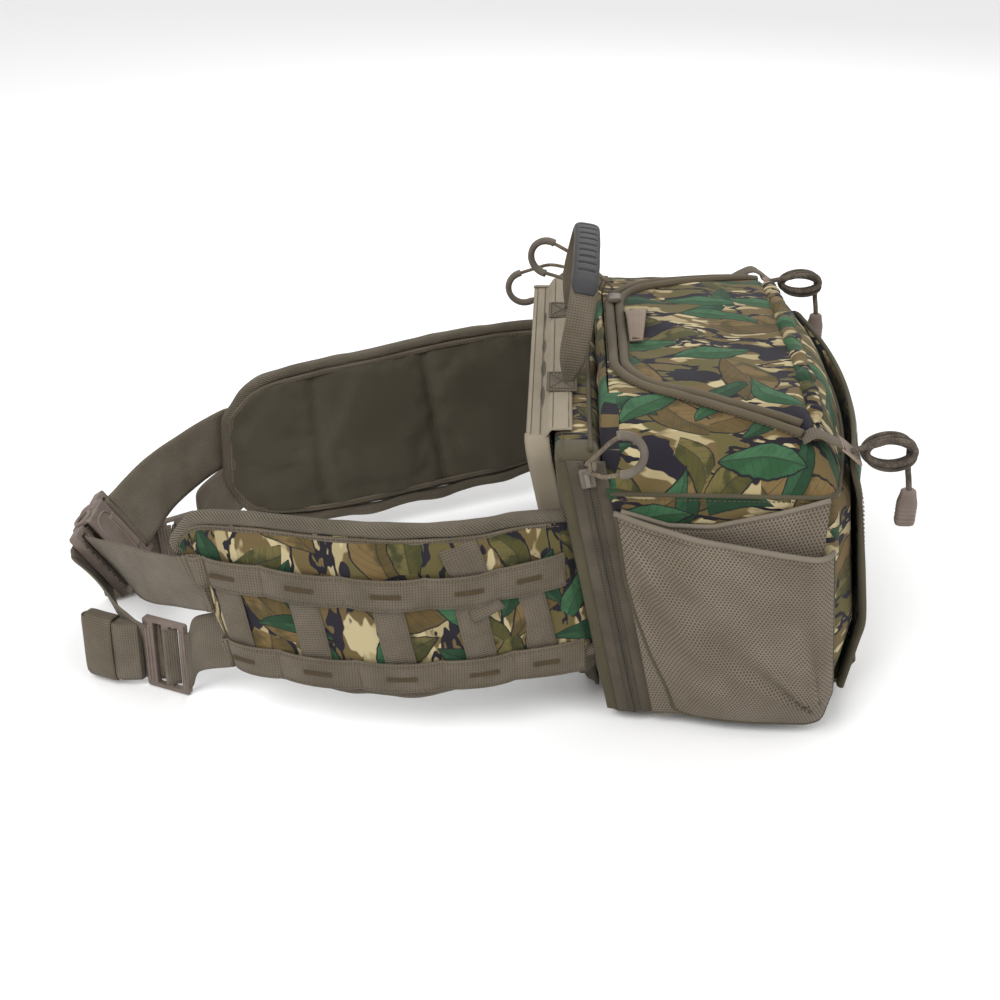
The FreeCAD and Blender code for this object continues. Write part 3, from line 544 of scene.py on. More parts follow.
def strap_mesh(centres, across, width, thick, step=3.0, wave=None, slack=0.25, closed=False,
               columns=7, seed=1, shear=False):
    """A flat strap through centre points, with soft edges. wave(s, c) pushes it out along its normal.

    A sheared strap keeps the given directions across it even where they aren't square to its run.
    """
    centres = np.asarray(centres, float)
    across = np.broadcast_to(unit(across), centres.shape)
    wide = np.broadcast_to(np.asarray(width, float), (len(centres),))[:, None]
    rows = smooth_path(np.hstack([centres, across, wide]), step, closed)
    c, a, wide = rows[:, :3], unit(rows[:, 3:6]), rows[:, 6:]
    tangent = unit(np.gradient(c, axis=0))
    if closed:
        tangent = unit(np.roll(c, -1, axis=0) - np.roll(c, 1, axis=0))
    if not shear:
        a = unit(a - tangent * np.sum(a * tangent, axis=1, keepdims=True))
    normal = unit(np.cross(tangent, a))
    s = lengths(c)
    u = np.linspace(-0.5, 0.5, columns) * wide
    thin = np.clip((wide / 2 - np.abs(u)) / (0.7 * thick), 0, 1) ** 0.5 * 0.5 + 0.5
    middle = c[:, None] + a[:, None] * u[..., None]
    push = slack * ripple(middle, seed, 26.0)
    if wave:
        push = push + wave(s[:, None], u)
    middle = middle + normal[:, None] * push[..., None]
    half = normal[:, None] * (thin * thick / 2)[..., None]
    ring = np.concatenate([middle + half, (middle - half)[:, ::-1]], axis=1)
    ring_u = np.concatenate([u, u[:, ::-1], u[:, :1]], axis=1)
    along = s
    if closed:
        along = np.append(s, s[-1] + np.linalg.norm(c[0] - c[-1]))
        ring_u = np.vstack([ring_u, ring_u[:1]])
    uv = np.stack([ring_u, np.broadcast_to(along[:, None], ring_u.shape)], axis=-1)
    return grid(ring, uv, wrap_i=True, wrap_j=True) if closed else closed_ring(ring, uv, uv)


def transport(path, start_normal, closed=False):
    """Normals carried along a path without twist."""
    tangent = unit(np.gradient(path, axis=0))
    if closed:
        tangent = unit(np.roll(path, -1, axis=0) - np.roll(path, 1, axis=0))
    normals = np.zeros_like(path)
    n = np.asarray(start_normal, float)
    for k, t in enumerate(tangent):
        n = unit(n - t * (n @ t))
        normals[k] = n
    return tangent, normals


def sweep(path, profile, normal, scale=None, closed=False, uv_round=1.0):
    """Carries a closed (side, out) profile along a path. scale is (n, 2)."""
    path = np.asarray(path, float)
    profile = np.asarray(profile, float)
    if np.ndim(normal) == 1:
        tangent, normal = transport(path, normal, closed)
    else:
        tangent = unit(np.gradient(path, axis=0))
        if closed:
            tangent = unit(np.roll(path, -1, axis=0) - np.roll(path, 1, axis=0))
        normal = unit(normal - tangent * np.sum(normal * tangent, axis=1, keepdims=True))
    side = np.cross(tangent, normal)
    scale = np.ones((len(path), 2)) if scale is None else np.asarray(scale, float)
    ring = (path[:, None] + side[:, None] * (profile[:, 0] * scale[:, :1])[..., None]
            + normal[:, None] * (profile[:, 1] * scale[:, 1:])[..., None])
    around = lengths(np.vstack([profile, profile[:1]])) * uv_round
    along = lengths(path)
    if closed:
        along = np.append(along, along[-1] + np.linalg.norm(path[0] - path[-1]))
    uv = np.stack(np.meshgrid(around, along), axis=-1)
    return grid(ring, uv, wrap_i=closed, wrap_j=True, cap=not closed)


def oval(a, b, count=14, power=2.0):
    t = np.linspace(0, 2 * math.pi, count, endpoint=False)
    c, s = np.cos(t), np.sin(t)
    e = 2.0 / power
    return np.stack([a * np.sign(c) * np.abs(c) ** e, b * np.sign(s) * np.abs(s) ** e], axis=1)


def threads(path, normals, spacing, length, radius, across=False):
    """A run of stitches along a path. With across, each thread lies across it instead."""
    path = np.asarray(path, float)
    normals = np.broadcast_to(np.asarray(normals, float), path.shape)
    s = lengths(path)
    marks = np.arange(spacing / 2, s[-1], spacing)
    at = np.stack([np.interp(marks, s, path[:, k]) for k in range(3)], axis=1)
    n = unit(np.stack([np.interp(marks, s, normals[:, k]) for k in range(3)], axis=1))
    tangent = np.gradient(path, axis=0)
    t = unit(np.stack([np.interp(marks, s, tangent[:, k]) for k in range(3)], axis=1))
    if across:
        t = unit(np.cross(n, t))
    side = np.cross(t, n)
    parts = Parts()
    ends = np.array([(-0.5, 0.25), (-0.36, 0.85), (0.0, 1.0), (0.36, 0.85), (0.5, 0.25)])
    turns = np.linspace(0, 2 * math.pi, 6, endpoint=False)
    for k in range(len(marks)):
        ring = (at[k] + n[k] * (radius * 0.4) + t[k] * (ends[:, :1] * length)[:, None]
                + side[k] * (np.cos(turns)[None] * ends[:, 1:] * radius)[..., None]
                + n[k] * (np.sin(turns)[None] * ends[:, 1:] * radius)[..., None])
        parts.add(*grid(ring, wrap_j=True, cap=True))
    return parts


def merged(*many):
    total = Parts()
    for part in many:
        if isinstance(part, Parts):
            total.add(part.verts, part.faces, part.uvs)
        else:
            total.add(*part)
    return total


def tube(path, radius, sides=12, start=(0.1, 0.2, 1.0), closed=False):
    radius = np.broadcast_to(np.asarray(radius, float), (len(path),))
    scale = np.stack([radius, radius], axis=1)
    turns = oval(1.0, 1.0, sides)
    verts, faces, uvs = sweep(path, turns, start, scale, closed)
    uvs = np.asarray(uvs, float)
    uvs[:, 0] *= float(radius.mean())
    return verts, faces, uvs


def softened(node, name, material, body, width=0.8, segments=3):
    """A copy of a hard CAD node with its edges rounded over."""
    work = bmesh.new()
    work.from_mesh(bpy.data.objects[node].data)
    bmesh.ops.remove_doubles(work, verts=work.verts, dist=1e-5)
    bmesh.ops.dissolve_limit(work, angle_limit=math.radians(2), verts=work.verts, edges=work.edges)
    sharp = [e for e in work.edges if len(e.link_faces) == 2 and e.calc_face_angle() > math.radians(28)]
    bmesh.ops.bevel(work, geom=sharp, offset=width * MM, segments=segments, profile=0.5, affect="EDGES",
                    clamp_overlap=True)
    bmesh.ops.triangulate(work, faces=[f for f in work.faces if len(f.verts) > 4])
    mesh = bpy.data.meshes.new(name)
    work.to_mesh(mesh)
    work.free()
    mesh.materials.clear()
    mesh.materials.append(material)
    mesh.polygons.foreach_set("use_smooth", [True] * len(mesh.polygons))
    mesh.polygons.foreach_set("material_index", [0] * len(mesh.polygons))
    mesh.update()
    return add_piece(name, mesh, body, (node,))


# The bag's outline, from the frame's own sections

BAG_TOP = 224.0
SHELL_BACK = 34.5  # from the leaning rear plane forward to the bag's own back
SECTIONS = np.array([  # height, front, half width, bulge of the front
    (0, 92, 168, 14), (22, 107, 184, 19), (184, 92, 187, 22),
    (206, 85, 174, 20), (218, 78, 150, 16), (224, 71, 116, 12),
], float)
CENTRE_X = 8.0  # the top is laid out on rays from here


def rear(z, out=0.0):
    """The leaning rear plane's x at a height, moved forward by out."""
    return -55.5 - 0.21 * np.asarray(z, float) + out


def outline(z):
    """The bag's plan at one height, from the left back corner round the front to the right back corner."""
    front, half, bulge = (np.interp(z, SECTIONS[:, 0], SECTIONS[:, k]) for k in (1, 2, 3))
    corner = 16.0
    back = float(rear(min(z, 208.0), SHELL_BACK))
    side = np.stack([np.linspace(back, front - corner, 26), np.full(26, -half)], axis=1)
    turn = np.linspace(-math.pi / 2, 0, 7)[1:-1]
    bend = np.stack([front - corner + corner * np.cos(turn), corner - half + corner * np.sin(turn)], axis=1)
    y = np.linspace(corner - half, half - corner, 45)
    face = np.stack([front + bulge * (1 - (y / (half - corner)) ** 2), y], axis=1)
    flip = np.array([1.0, -1.0])
    rear_run = np.stack([np.full(24, back), np.linspace(half, -half, 26)[1:-1]], axis=1)
    return np.vstack([side, bend, face, (bend * flip)[::-1], (side * flip)[::-1], rear_run])


def radii(points, angles):
    """The distance from the centre to a closed outline, along each angle."""
    d = points - [CENTRE_X, 0.0]
    a = np.arctan2(d[:, 1], d[:, 0])
    order = np.argsort(a)
    return np.interp(angles, a[order], np.hypot(d[:, 0], d[:, 1])[order], period=2 * math.pi)


def horseshoe(grow=0.0, front_grow=0.0, front_x=76.5):
    """The lid's plan: a straight back, round back corners, flared sides and a straight front."""
    back, half, corner = -50.0 - grow, 115.0 + grow, 58.0 + grow
    front_half = 152.0 + front_grow
    turn = math.atan2(front_half - half, front_x - (back + corner))
    t = np.linspace(math.pi, math.pi / 2 + turn, 20)
    bend = np.stack([back + corner + corner * np.cos(t), half - corner + corner * np.sin(t)], axis=1)
    side = np.linspace(bend[-1], (front_x, front_half), 22)[1:]
    half_way = np.vstack([bend, side])
    front = np.stack([np.full(40, front_x), np.linspace(front_half, -front_half, 42)[1:-1]], axis=1)
    rest = (half_way * [1, -1])[::-1]
    back_run = np.stack([np.full(30, back), np.linspace(-(half - corner), half - corner, 32)[1:-1]], axis=1)
    return np.vstack([half_way, front, rest, back_run])


EDGE = outline(184.0)
d = EDGE - [CENTRE_X, 0.0]
ANGLES = np.arctan2(d[:, 1], d[:, 0])
LEVELS = np.array([184.0, 190.0, 196.0, 202.0, 207.0, 211.0, 214.5, 217.5, 220.0, 222.0, 223.4, 224.0])
ROUND = [radii(outline(z), ANGLES) for z in LEVELS]


def crown(z_rows, r_rows):
    """Rounds the ruled shoulder: heights follow a smooth curve of radius."""
    r = np.array(r_rows)
    z = np.repeat(np.array(z_rows)[:, None], r.shape[1], axis=1)
    for _ in range(3):
        z[1:-1] = (z[:-2] + 2 * z[1:-1] + z[2:]) / 4
        r[1:-1] = (r[:-2] + 2 * r[1:-1] + r[2:]) / 4
    return r, z


SHOULDER_R, SHOULDER_Z = crown(LEVELS, ROUND)


def top_height(radius):
    """Height of the bag's top along each ray, at one radius for each ray."""
    out = np.empty(len(ANGLES))
    for k in range(len(ANGLES)):
        r = SHOULDER_R[::-1, k]
        z = SHOULDER_Z[::-1, k]
        inner = r[0]
        if radius[k] <= inner:
            out[k] = BAG_TOP + 1.6 * (1 - (radius[k] / inner) ** 2)
        else:
            out[k] = np.interp(radius[k], r, z)
    return out


def top_points(radius):
    """Points on the bag's top at one radius for each ray."""
    x = CENTRE_X + radius * np.cos(ANGLES)
    y = radius * np.sin(ANGLES)
    return np.stack([x, y, top_height(radius)], axis=1)


def top_height_at(x, y):
    """Height of the bag's top over any point."""
    r, a = math.hypot(x - CENTRE_X, y), math.atan2(y, x - CENTRE_X)
    k = int(np.argmin(np.abs(np.angle(np.exp(1j * (ANGLES - a))))))
    return float(top_height(np.full(len(ANGLES), r))[k])


# The main compartment

def bag_wall():
    heights = np.concatenate([[0.0, 3.0, 8.0, 15.0], np.linspace(22, 184, 40)])
    rows = []
    for z in heights:
        flat = outline(z)
        rows.append(np.column_stack([flat, np.full(len(flat), z)]))
    p = np.array(rows)
    n = surface_normals(np.concatenate([p, p[:, :1]], axis=1))[:, :-1]
    out = np.sign(np.sum(n[..., :2] * (p[..., :2] - [20.0, 0.0]), axis=-1, keepdims=True))
    n = n * out
    fade = np.clip(np.minimum((p[..., 2] - 4) / 30, (182 - p[..., 2]) / 26), 0, 1)
    side = np.abs(p[..., 1]) > 160
    hang = ripple(p * [1.0, 1.0, 0.45], 11, 62.0) * 1.7 + ripple(p, 12, 24.0) * 0.5
    crease = np.sin((p[..., 0] * 0.9 + p[..., 2] * 0.55) / 13.0)
    crease = crease * np.exp(-((p[..., 2] - 150) / 26) ** 2) * side
    front = (p[..., 0] > 88) * (1 - (p[..., 2] / 100 - 1) ** 2)
    puff = fade * (hang + crease * 0.8 - 1.2 + 1.0 * front)
    puff[:, -24:] = 0.0
    p = p + n * np.minimum(puff, 1.6)[..., None]
    inner = p - n * 2.6
    around = lengths(np.vstack([p[20], p[20, :1]]))
    uv = np.stack(np.meshgrid(around, heights), axis=-1)
    build("bag_wall", *grid(p, uv, wrap_j=True), CAMO, "bag", "camo_fabric",
          replaces=("side_panels", "front_panel", "rear_wall"))
    build("bag_lining", *grid(inner, uv, wrap_j=True), LINING, "bag", "lining")


bag_wall()


def bag_base():
    ring = np.column_stack([outline(0.0), np.zeros(len(EDGE))])
    middle = np.array([24.0, 0.0, 0.0])
    rows = [middle + (ring - middle) * f for f in np.linspace(1.0, 0.02, 14)]
    p = np.array(rows)
    p[..., 2] = 0.35 + 0.5 * (1 + ripple(p, 5, 50.0)) * np.linspace(0, 1, 14)[:, None]
    upper = p[::-1] + [0, 0, 3.2]
    both = np.concatenate([upper, p])
    uv = both[..., :2].copy()
    uv = np.concatenate([uv, uv[:, :1]], axis=1)
    build("bag_base", *grid(both, uv, wrap_j=True, wrap_i=False, cap=True), BACK_CLOTH, "bag", "camo_fabric",
          replaces=("base_panel",))


bag_base()


def bag_top():
    """The ring round the lid, and the lid."""
    hole = radii(horseshoe(2.0, 4.0, 77.5), ANGLES)
    rim = radii(outline(184.0), ANGLES)
    lid_edge = radii(horseshoe(), ANGLES)
    rows = []
    for f in np.linspace(0, 1, 14):
        r = rim + (hole - rim) * f
        rows.append(top_points(r))
    p = np.array(rows)
    n = surface_normals(np.concatenate([p, p[:, :1]], axis=1))[:, :-1]
    n = n * np.sign(n[..., 2:] + 1e-9)
    pinch = np.sin(np.linspace(0, math.pi, 14))[:, None]
    puff = pinch * (ripple(p, 21, 30.0) * 1.1 + 0.6)
    lip = np.linspace(0, 1, 14)[:, None] ** 6
    p = p + n * (puff - 0.4 * lip)[..., None]
    inside = p - n * 2.4
    ring = np.concatenate([p, inside[::-1]])
    uv = ring[..., :2] * [1.0, 1.15] + [300.0, 0.0]
    uv[..., 0] += 0.9 * (BAG_TOP - ring[..., 2]) * np.clip(np.cos(ANGLES), 0, 1)
    uv = np.concatenate([uv, uv[:, :1]], axis=1)
    build("bag_top", *grid(ring, uv, wrap_j=True), CAMO, "bag", "camo_fabric", replaces=("top_panel",))

    z = np.linspace(181.0, 224.8, 20)
    half = np.interp(z, SECTIONS[:, 0], SECTIONS[:, 2])
    rounding = 1 - np.sqrt(1 - (np.clip(z - 214, 0, 10.9) / 11) ** 2)
    x = rear(np.minimum(z, 208.0), SHELL_BACK) + 5.1 * rounding
    inset, ahead = np.zeros(74), np.zeros(74)
    inset[[0, 1, -2, -1]], ahead[[0, 1, -2, -1]] = [2.4, 1.0, 1.0, 2.4], [11.0, 5.0, 5.0, 11.0]
    share = np.concatenate([[-1, -1], np.linspace(-1, 1, 70), [1, 1]])
    y = half[:, None] * share - np.sign(share) * inset
    back = np.stack([x[:, None] + ahead, y, np.broadcast_to(z[:, None], y.shape)], axis=-1)
    back[..., 0] -= 0.5 * (1 + ripple(back, 22, 28.0))
    build("bag_back_edge", *shell(back, 2.0, back[..., 1:] + [900.0, 0.0]), CAMO, "bag", "camo_fabric")

    rows = []
    for f in np.concatenate([np.linspace(1.0, 0.9, 5), np.linspace(0.86, 0.03, 24)]):
        rows.append(top_points(lid_edge * f))
    p = np.array(rows)
    n = surface_normals(np.concatenate([p, p[:, :1]], axis=1))[:, :-1]
    n = n * np.sign(n[..., 2:] + 1e-9)
    x, y = p[..., 0], p[..., 1]
    inner = np.clip(np.linspace(0, 6, len(rows)), 0, 1)[:, None]
    folds = 1.5 * ripple(p * [1.0, 0.55, 1.0], 31, 60.0) + 0.6 * ripple(p, 32, 26.0)
    tug = 1.0 * np.exp(-((x + 18) / 22) ** 2) * np.sin(y / 17.0 + x / 30)
    p = p + n * (inner * (folds + tug + 0.9))[..., None]
    under = p - n * 2.6
    both = np.concatenate([under[::-1], p])
    uv = both[..., :2].copy() + [300.0, 0.0]
    uv = np.concatenate([uv, uv[:, :1]], axis=1)
    cloth = grid(both, uv, wrap_j=True, cap=True)
    build("lid_cloth", *cloth, CAMO, "lid", "camo_fabric", replaces=("lid_panel",))


bag_top()


def lid_line(grow, front_grow, lift):
    """An open path on the bag's top, parallel to the lid's zip, from front corner to front corner."""
    flat = horseshoe(grow, front_grow, 72.0)
    start, stop = 41, 82
    path = np.vstack([flat[stop:], flat[:start]])
    z = [top_height_at(x, y) + lift for x, y in path]
    return smooth_path(np.column_stack([path, z])[::2], 2.5)


def lid_zip():
    """Two fabric tubes with the zip's coil hidden between them, and the shade strip below."""
    welts = (("outer", "bag", 4.8, 6.4, 1), ("inner", "lid", -2.8, -3.6, -1))
    for name, body, grow, front_grow, side in welts:
        path = lid_line(grow, front_grow, 1.5)
        puff = 1.0 + 0.05 * ripple(path, 41 if name == "outer" else 42, 15.0)
        scale = np.stack([puff * 3.5, puff * 3.1], axis=1)
        welt = sweep(path, oval(1.0, 1.0, 14), UP, scale, uv_round=3.3)
        build("lid_welt_" + name, *welt, WELT_CLOTH, body, "zip_coil",
              replaces=("lid_zip_%s_welt" % name,))
        seam = lid_line(grow + 4.2 * side, front_grow + 4.4 * side, 1.4)
        threads(seam, UP, 3.4, 2.5, 0.38).build("lid_stitch_" + name, THREAD, body, "zip_coil")
    # The dark zip tape sunk below the welts also stands in as painted shade in the gap between them.
    path = lid_line(1.0, 1.4, -1.2)
    normal = np.cross(np.gradient(path, axis=0), [0, 0, 1.0])
    verts = strap_mesh(path[::3], normal[::3], 5.0, 0.8, slack=0.0, columns=5)
    build("lid_zip_tape_and_shade", *verts, ZIP, "lid", "zip_coil")


lid_zip()


def front_roll():
    """The gathered fold of cloth in front of the lid, over the zip's hidden hinge side."""
    y = np.linspace(-141, 141, 120)
    path = np.array([(79.5, v, top_height_at(79.5, v) + 1.2) for v in y])
    path[:, 2] += 0.7 * ripple(path, 35, 30.0)
    puff = 1 + 0.16 * np.sin(y / 2.7 + 1.6 * ripple(path, 36, 40.0)) * 0.5 + 0.12 * ripple(path, 37, 20.0)
    taper = np.clip((143 - np.abs(y)) / 16, 0.25, 1)
    scale = np.stack([puff * taper * 6.2, puff * taper * 4.6], axis=1)
    roll = sweep(path, oval(1.0, 1.0, 16), UP, scale, uv_round=6.0)
    build("front_roll", *roll, CAMO, "bag", "camo_fabric")


front_roll()


def seam_cord(name, path, radius):
    build(name, *tube(path, radius, 10, UP, False), GUSSET_CLOTH, "bag", "camo_fabric")


def bag_seams():
    """Piping where the top is sewn to the sides and front, and round the foot."""
    ring = np.column_stack([outline(184.0), np.full(len(EDGE), 184.6)])
    ring = smooth_path(ring[:-24:2], 3.0)
    seam_cord("top_seam", ring, 1.5)
    normal = np.column_stack([unit(ring[:, :2] - [20, 0]), np.zeros(len(ring))])
    threads(ring - [0, 0, 3.6], normal, 3.2, 2.3, 0.36).build("top_seam_stitch", THREAD, "bag", "camo_fabric")
    foot = np.column_stack([outline(19.0), np.full(len(EDGE), 20.0)])
    foot = smooth_path(foot[:-24:2], 3.0)
    seam_cord("foot_seam", foot, 1.4)


bag_seams()


# The rear compartment, its zips and the lumbar pad

def leaning(z, out, y):
    return np.stack(np.broadcast_arrays(rear(z, out), y, z), axis=-1).astype(float)


def rear_compartment():
    """A rounded, leaning envelope with a gathered strip along its top."""
    t = oval(17.0, 104.5, 72, 7.0)
    rounded = np.array([177.0, 180.5, 182.4, 183.0])
    stations = np.concatenate([-rounded[::-1], np.linspace(-172, 172, 70), rounded])
    rows = []
    for y in stations:
        end = max(0.0, (abs(y) - 172.0) / 11.0)
        shrink = 1 - math.sqrt(max(0.0, 1 - end ** 2)) if end < 1 else 1.0
        depth, high = t[:, 0] * (1 - 0.42 * shrink), t[:, 1] - np.sign(t[:, 1]) * 7.0 * shrink
        z = 107.5 + high
        rows.append(leaning(z, 17.0 + depth, np.full(len(z), y)))
    p = np.array(rows)
    middle = leaning(p[..., 2], 17.0, p[..., 1])
    n = unit(p - middle)
    top = np.clip((p[..., 2] - 196) / 10, 0, 1)
    covered = np.clip((t[:, 0] + 3.0) / 6, 0.0, 1.0)  # the pad's top strip lies over the back half
    pucker = top * covered * (1.0 * ripple(p * [0.6, 1.6, 0.6], 51, 14.0) + 1.0 * ripple(p, 52, 42.0) + 0.6)
    sides = (1 - top) * 0.7 * ripple(p, 53, 46.0)
    ends = np.clip((182 - np.abs(p[..., 1])) / 6, 0, 1)
    p = p + n * ((pucker + sides) * ends)[..., None]
    build("rear_compartment", *grid(p[6:-6], None, wrap_j=True, cap=True), CAMO, "bag", "camo_fabric",
          replaces=("rear_pocket",))
    ends = merged(grid(p[:7], None, wrap_j=True, cap=True), grid(p[-7:], None, wrap_j=True, cap=True))
    ends.build("rear_compartment_ends", GUSSET_CLOTH, "bag", "camo_fabric")
    path = np.array([leaning(211.6, 27.0, y) for y in np.linspace(-178, 178, 90)])
    path = path + np.array([0, 0, 1.0]) * (ripple(path, 54, 20.0) * 0.5)[:, None]
    seam_cord("rear_top_piping", path, 1.7)
    path = np.array([leaning(212.6, 8.5, y) for y in np.linspace(-176, 176, 90)])
    threads(path, UP, 3.4, 2.4, 0.38).build("rear_top_stitch", THREAD, "bag", "camo_fabric")


rear_compartment()


def side_zip(name, sign):
    """Gusset, tape with its coil, and the slider."""
    z = np.linspace(10, 206, 56)
    across = np.linspace(-14.5, 14.5, 15)
    zz, aa = np.meshgrid(z, across, indexing="ij")
    edge = np.clip((14.5 - np.abs(aa)) / 4, 0, 1)
    p = leaning(zz, 17.0 + aa, np.full_like(zz, 183.5))
    fold = 0.9 * ripple(p * [1.0, 0, 0.6], 61, 16.0) * (aa < -3) * edge
    p[..., 1] = sign * (p[..., 1] + 0.7 * edge + fold * 0.5)
    uv = np.stack([aa, zz], axis=-1)
    build(name + "_gusset", *grid(p, uv), GUSSET_CLOTH, "bag", "camo_fabric")

    z = np.linspace(9, 207, 90)
    across = np.linspace(-12.0, 13.4, 19)
    zz, aa = np.meshgrid(z, across, indexing="ij")
    p = leaning(zz, 22.0 + aa, np.full_like(zz, 184.9))
    hump = 1.3 * np.exp(-(aa / 3.4) ** 2) + 0.25 * ripple(p, 62, 20.0)
    p[..., 1] = sign * (p[..., 1] + hump * 0.7)
    tape = shell(p, 1.0, np.stack([aa, zz], axis=-1), flip=sign > 0)
    build(name + "_zip_tape", *tape, ZIP, "bag", "zip_coil", replaces=("zip_tapes",) if sign < 0 else ())
    line = leaning(np.linspace(10, 206, 60), 22.0, np.full(60, 186.0))
    line[:, 1] *= sign
    out = np.array([0, sign, 0.0])
    rows = [threads(line + np.array([s * 4.2, 0, 0]) * [1, 1, 1], out, 2.3, 1.3, 0.42) for s in (-1, 1)]
    merged(*rows).build(name + "_coil_stitch", THREAD, "bag", "zip_coil")
    rows = [threads(line + [s, sign * 0.15, 0.0], out, 1.25, 1.9, 0.5, across=True) for s in (-1, 1)]
    merged(*rows).build(name + "_zip_teeth", ZIP_TEETH, "bag", "zip_coil")
    softened(name + "_zip_slider", name + "_slider_body", METAL, name + "_zip", 0.5, 2)


for side_name, side_sign in SIDES.items():
    side_zip(side_name, side_sign)


def inflate(piece, pinned, pressure, out_cap, in_cap, centre_normal, voxel=5.0):
    """Cloth under pressure. Points where pinned(p) is true stay; movement is capped each way."""
    cloth = piece.copy()
    cloth.data = piece.data.copy()
    bpy.context.collection.objects.link(cloth)
    bpy.context.view_layer.objects.active = cloth
    shape = cloth.modifiers.new("even", "REMESH")
    shape.mode, shape.voxel_size = "VOXEL", voxel * MM
    even = bpy.data.meshes.new_from_object(cloth.evaluated_get(bpy.context.evaluated_depsgraph_get()))
    cloth.modifiers.clear()
    cloth.data = even
    count = len(even.vertices)
    start = np.empty(count * 3)
    even.vertices.foreach_get("co", start)
    start = start.reshape(-1, 3)
    group = cloth.vertex_groups.new(name="sewn")
    fixed = [k for k in range(count) if pinned(start[k] / MM)]
    group.add(fixed, 1.0, "REPLACE")
    sim = cloth.modifiers.new("cloth", "CLOTH")
    s = sim.settings
    s.quality, s.mass, s.tension_stiffness, s.compression_stiffness = 5, 0.25, 18.0, 12.0
    s.shear_stiffness, s.bending_stiffness = 6.0, 0.6
    s.use_pressure, s.uniform_pressure_force, s.shrink_min = True, pressure, -0.035
    s.vertex_group_mass = "sewn"
    s.effector_weights.gravity = 0
    sim.point_cache.frame_start, sim.point_cache.frame_end = 1, 20
    for f in range(1, 21):
        bpy.context.scene.frame_set(f)
    moved = bpy.data.meshes.new_from_object(cloth.evaluated_get(bpy.context.evaluated_depsgraph_get()))
    end = np.empty(count * 3)
    moved.vertices.foreach_get("co", end)
    end = end.reshape(-1, 3)
    shift = (end - start) / MM
    shift[~np.isfinite(shift)] = 0.0
    n = centre_normal(start / MM)
    outward = np.sum(shift * n, axis=1)
    side = shift - n * outward[:, None]
    side *= np.minimum(1.0, 2.5 / (np.linalg.norm(side, axis=1, keepdims=True) + 1e-9))
    outward = np.clip(outward, -in_cap, out_cap)
    final = start + (side + n * outward[:, None]) * MM
    bpy.context.scene.frame_set(1)
    bpy.data.objects.remove(cloth)
    tree = BVHTree.FromPolygons([Vector(v) for v in start], [tuple(p.vertices) for p in even.polygons])
    mesh = piece.data
    old = np.empty(len(mesh.vertices) * 3)
    mesh.vertices.foreach_get("co", old)
    old = old.reshape(-1, 3)
    change = final - start
    for k, point in enumerate(old):
        _, _, face, _ = tree.find_nearest(Vector(point))
        near = list(even.polygons[face].vertices)
        weight = 1.0 / (np.linalg.norm(start[near] - point, axis=1) + 1e-4)
        old[k] = point + (change[near] * weight[:, None]).sum(axis=0) / weight.sum()
    mesh.vertices.foreach_set("co", old.ravel())
    mesh.update()


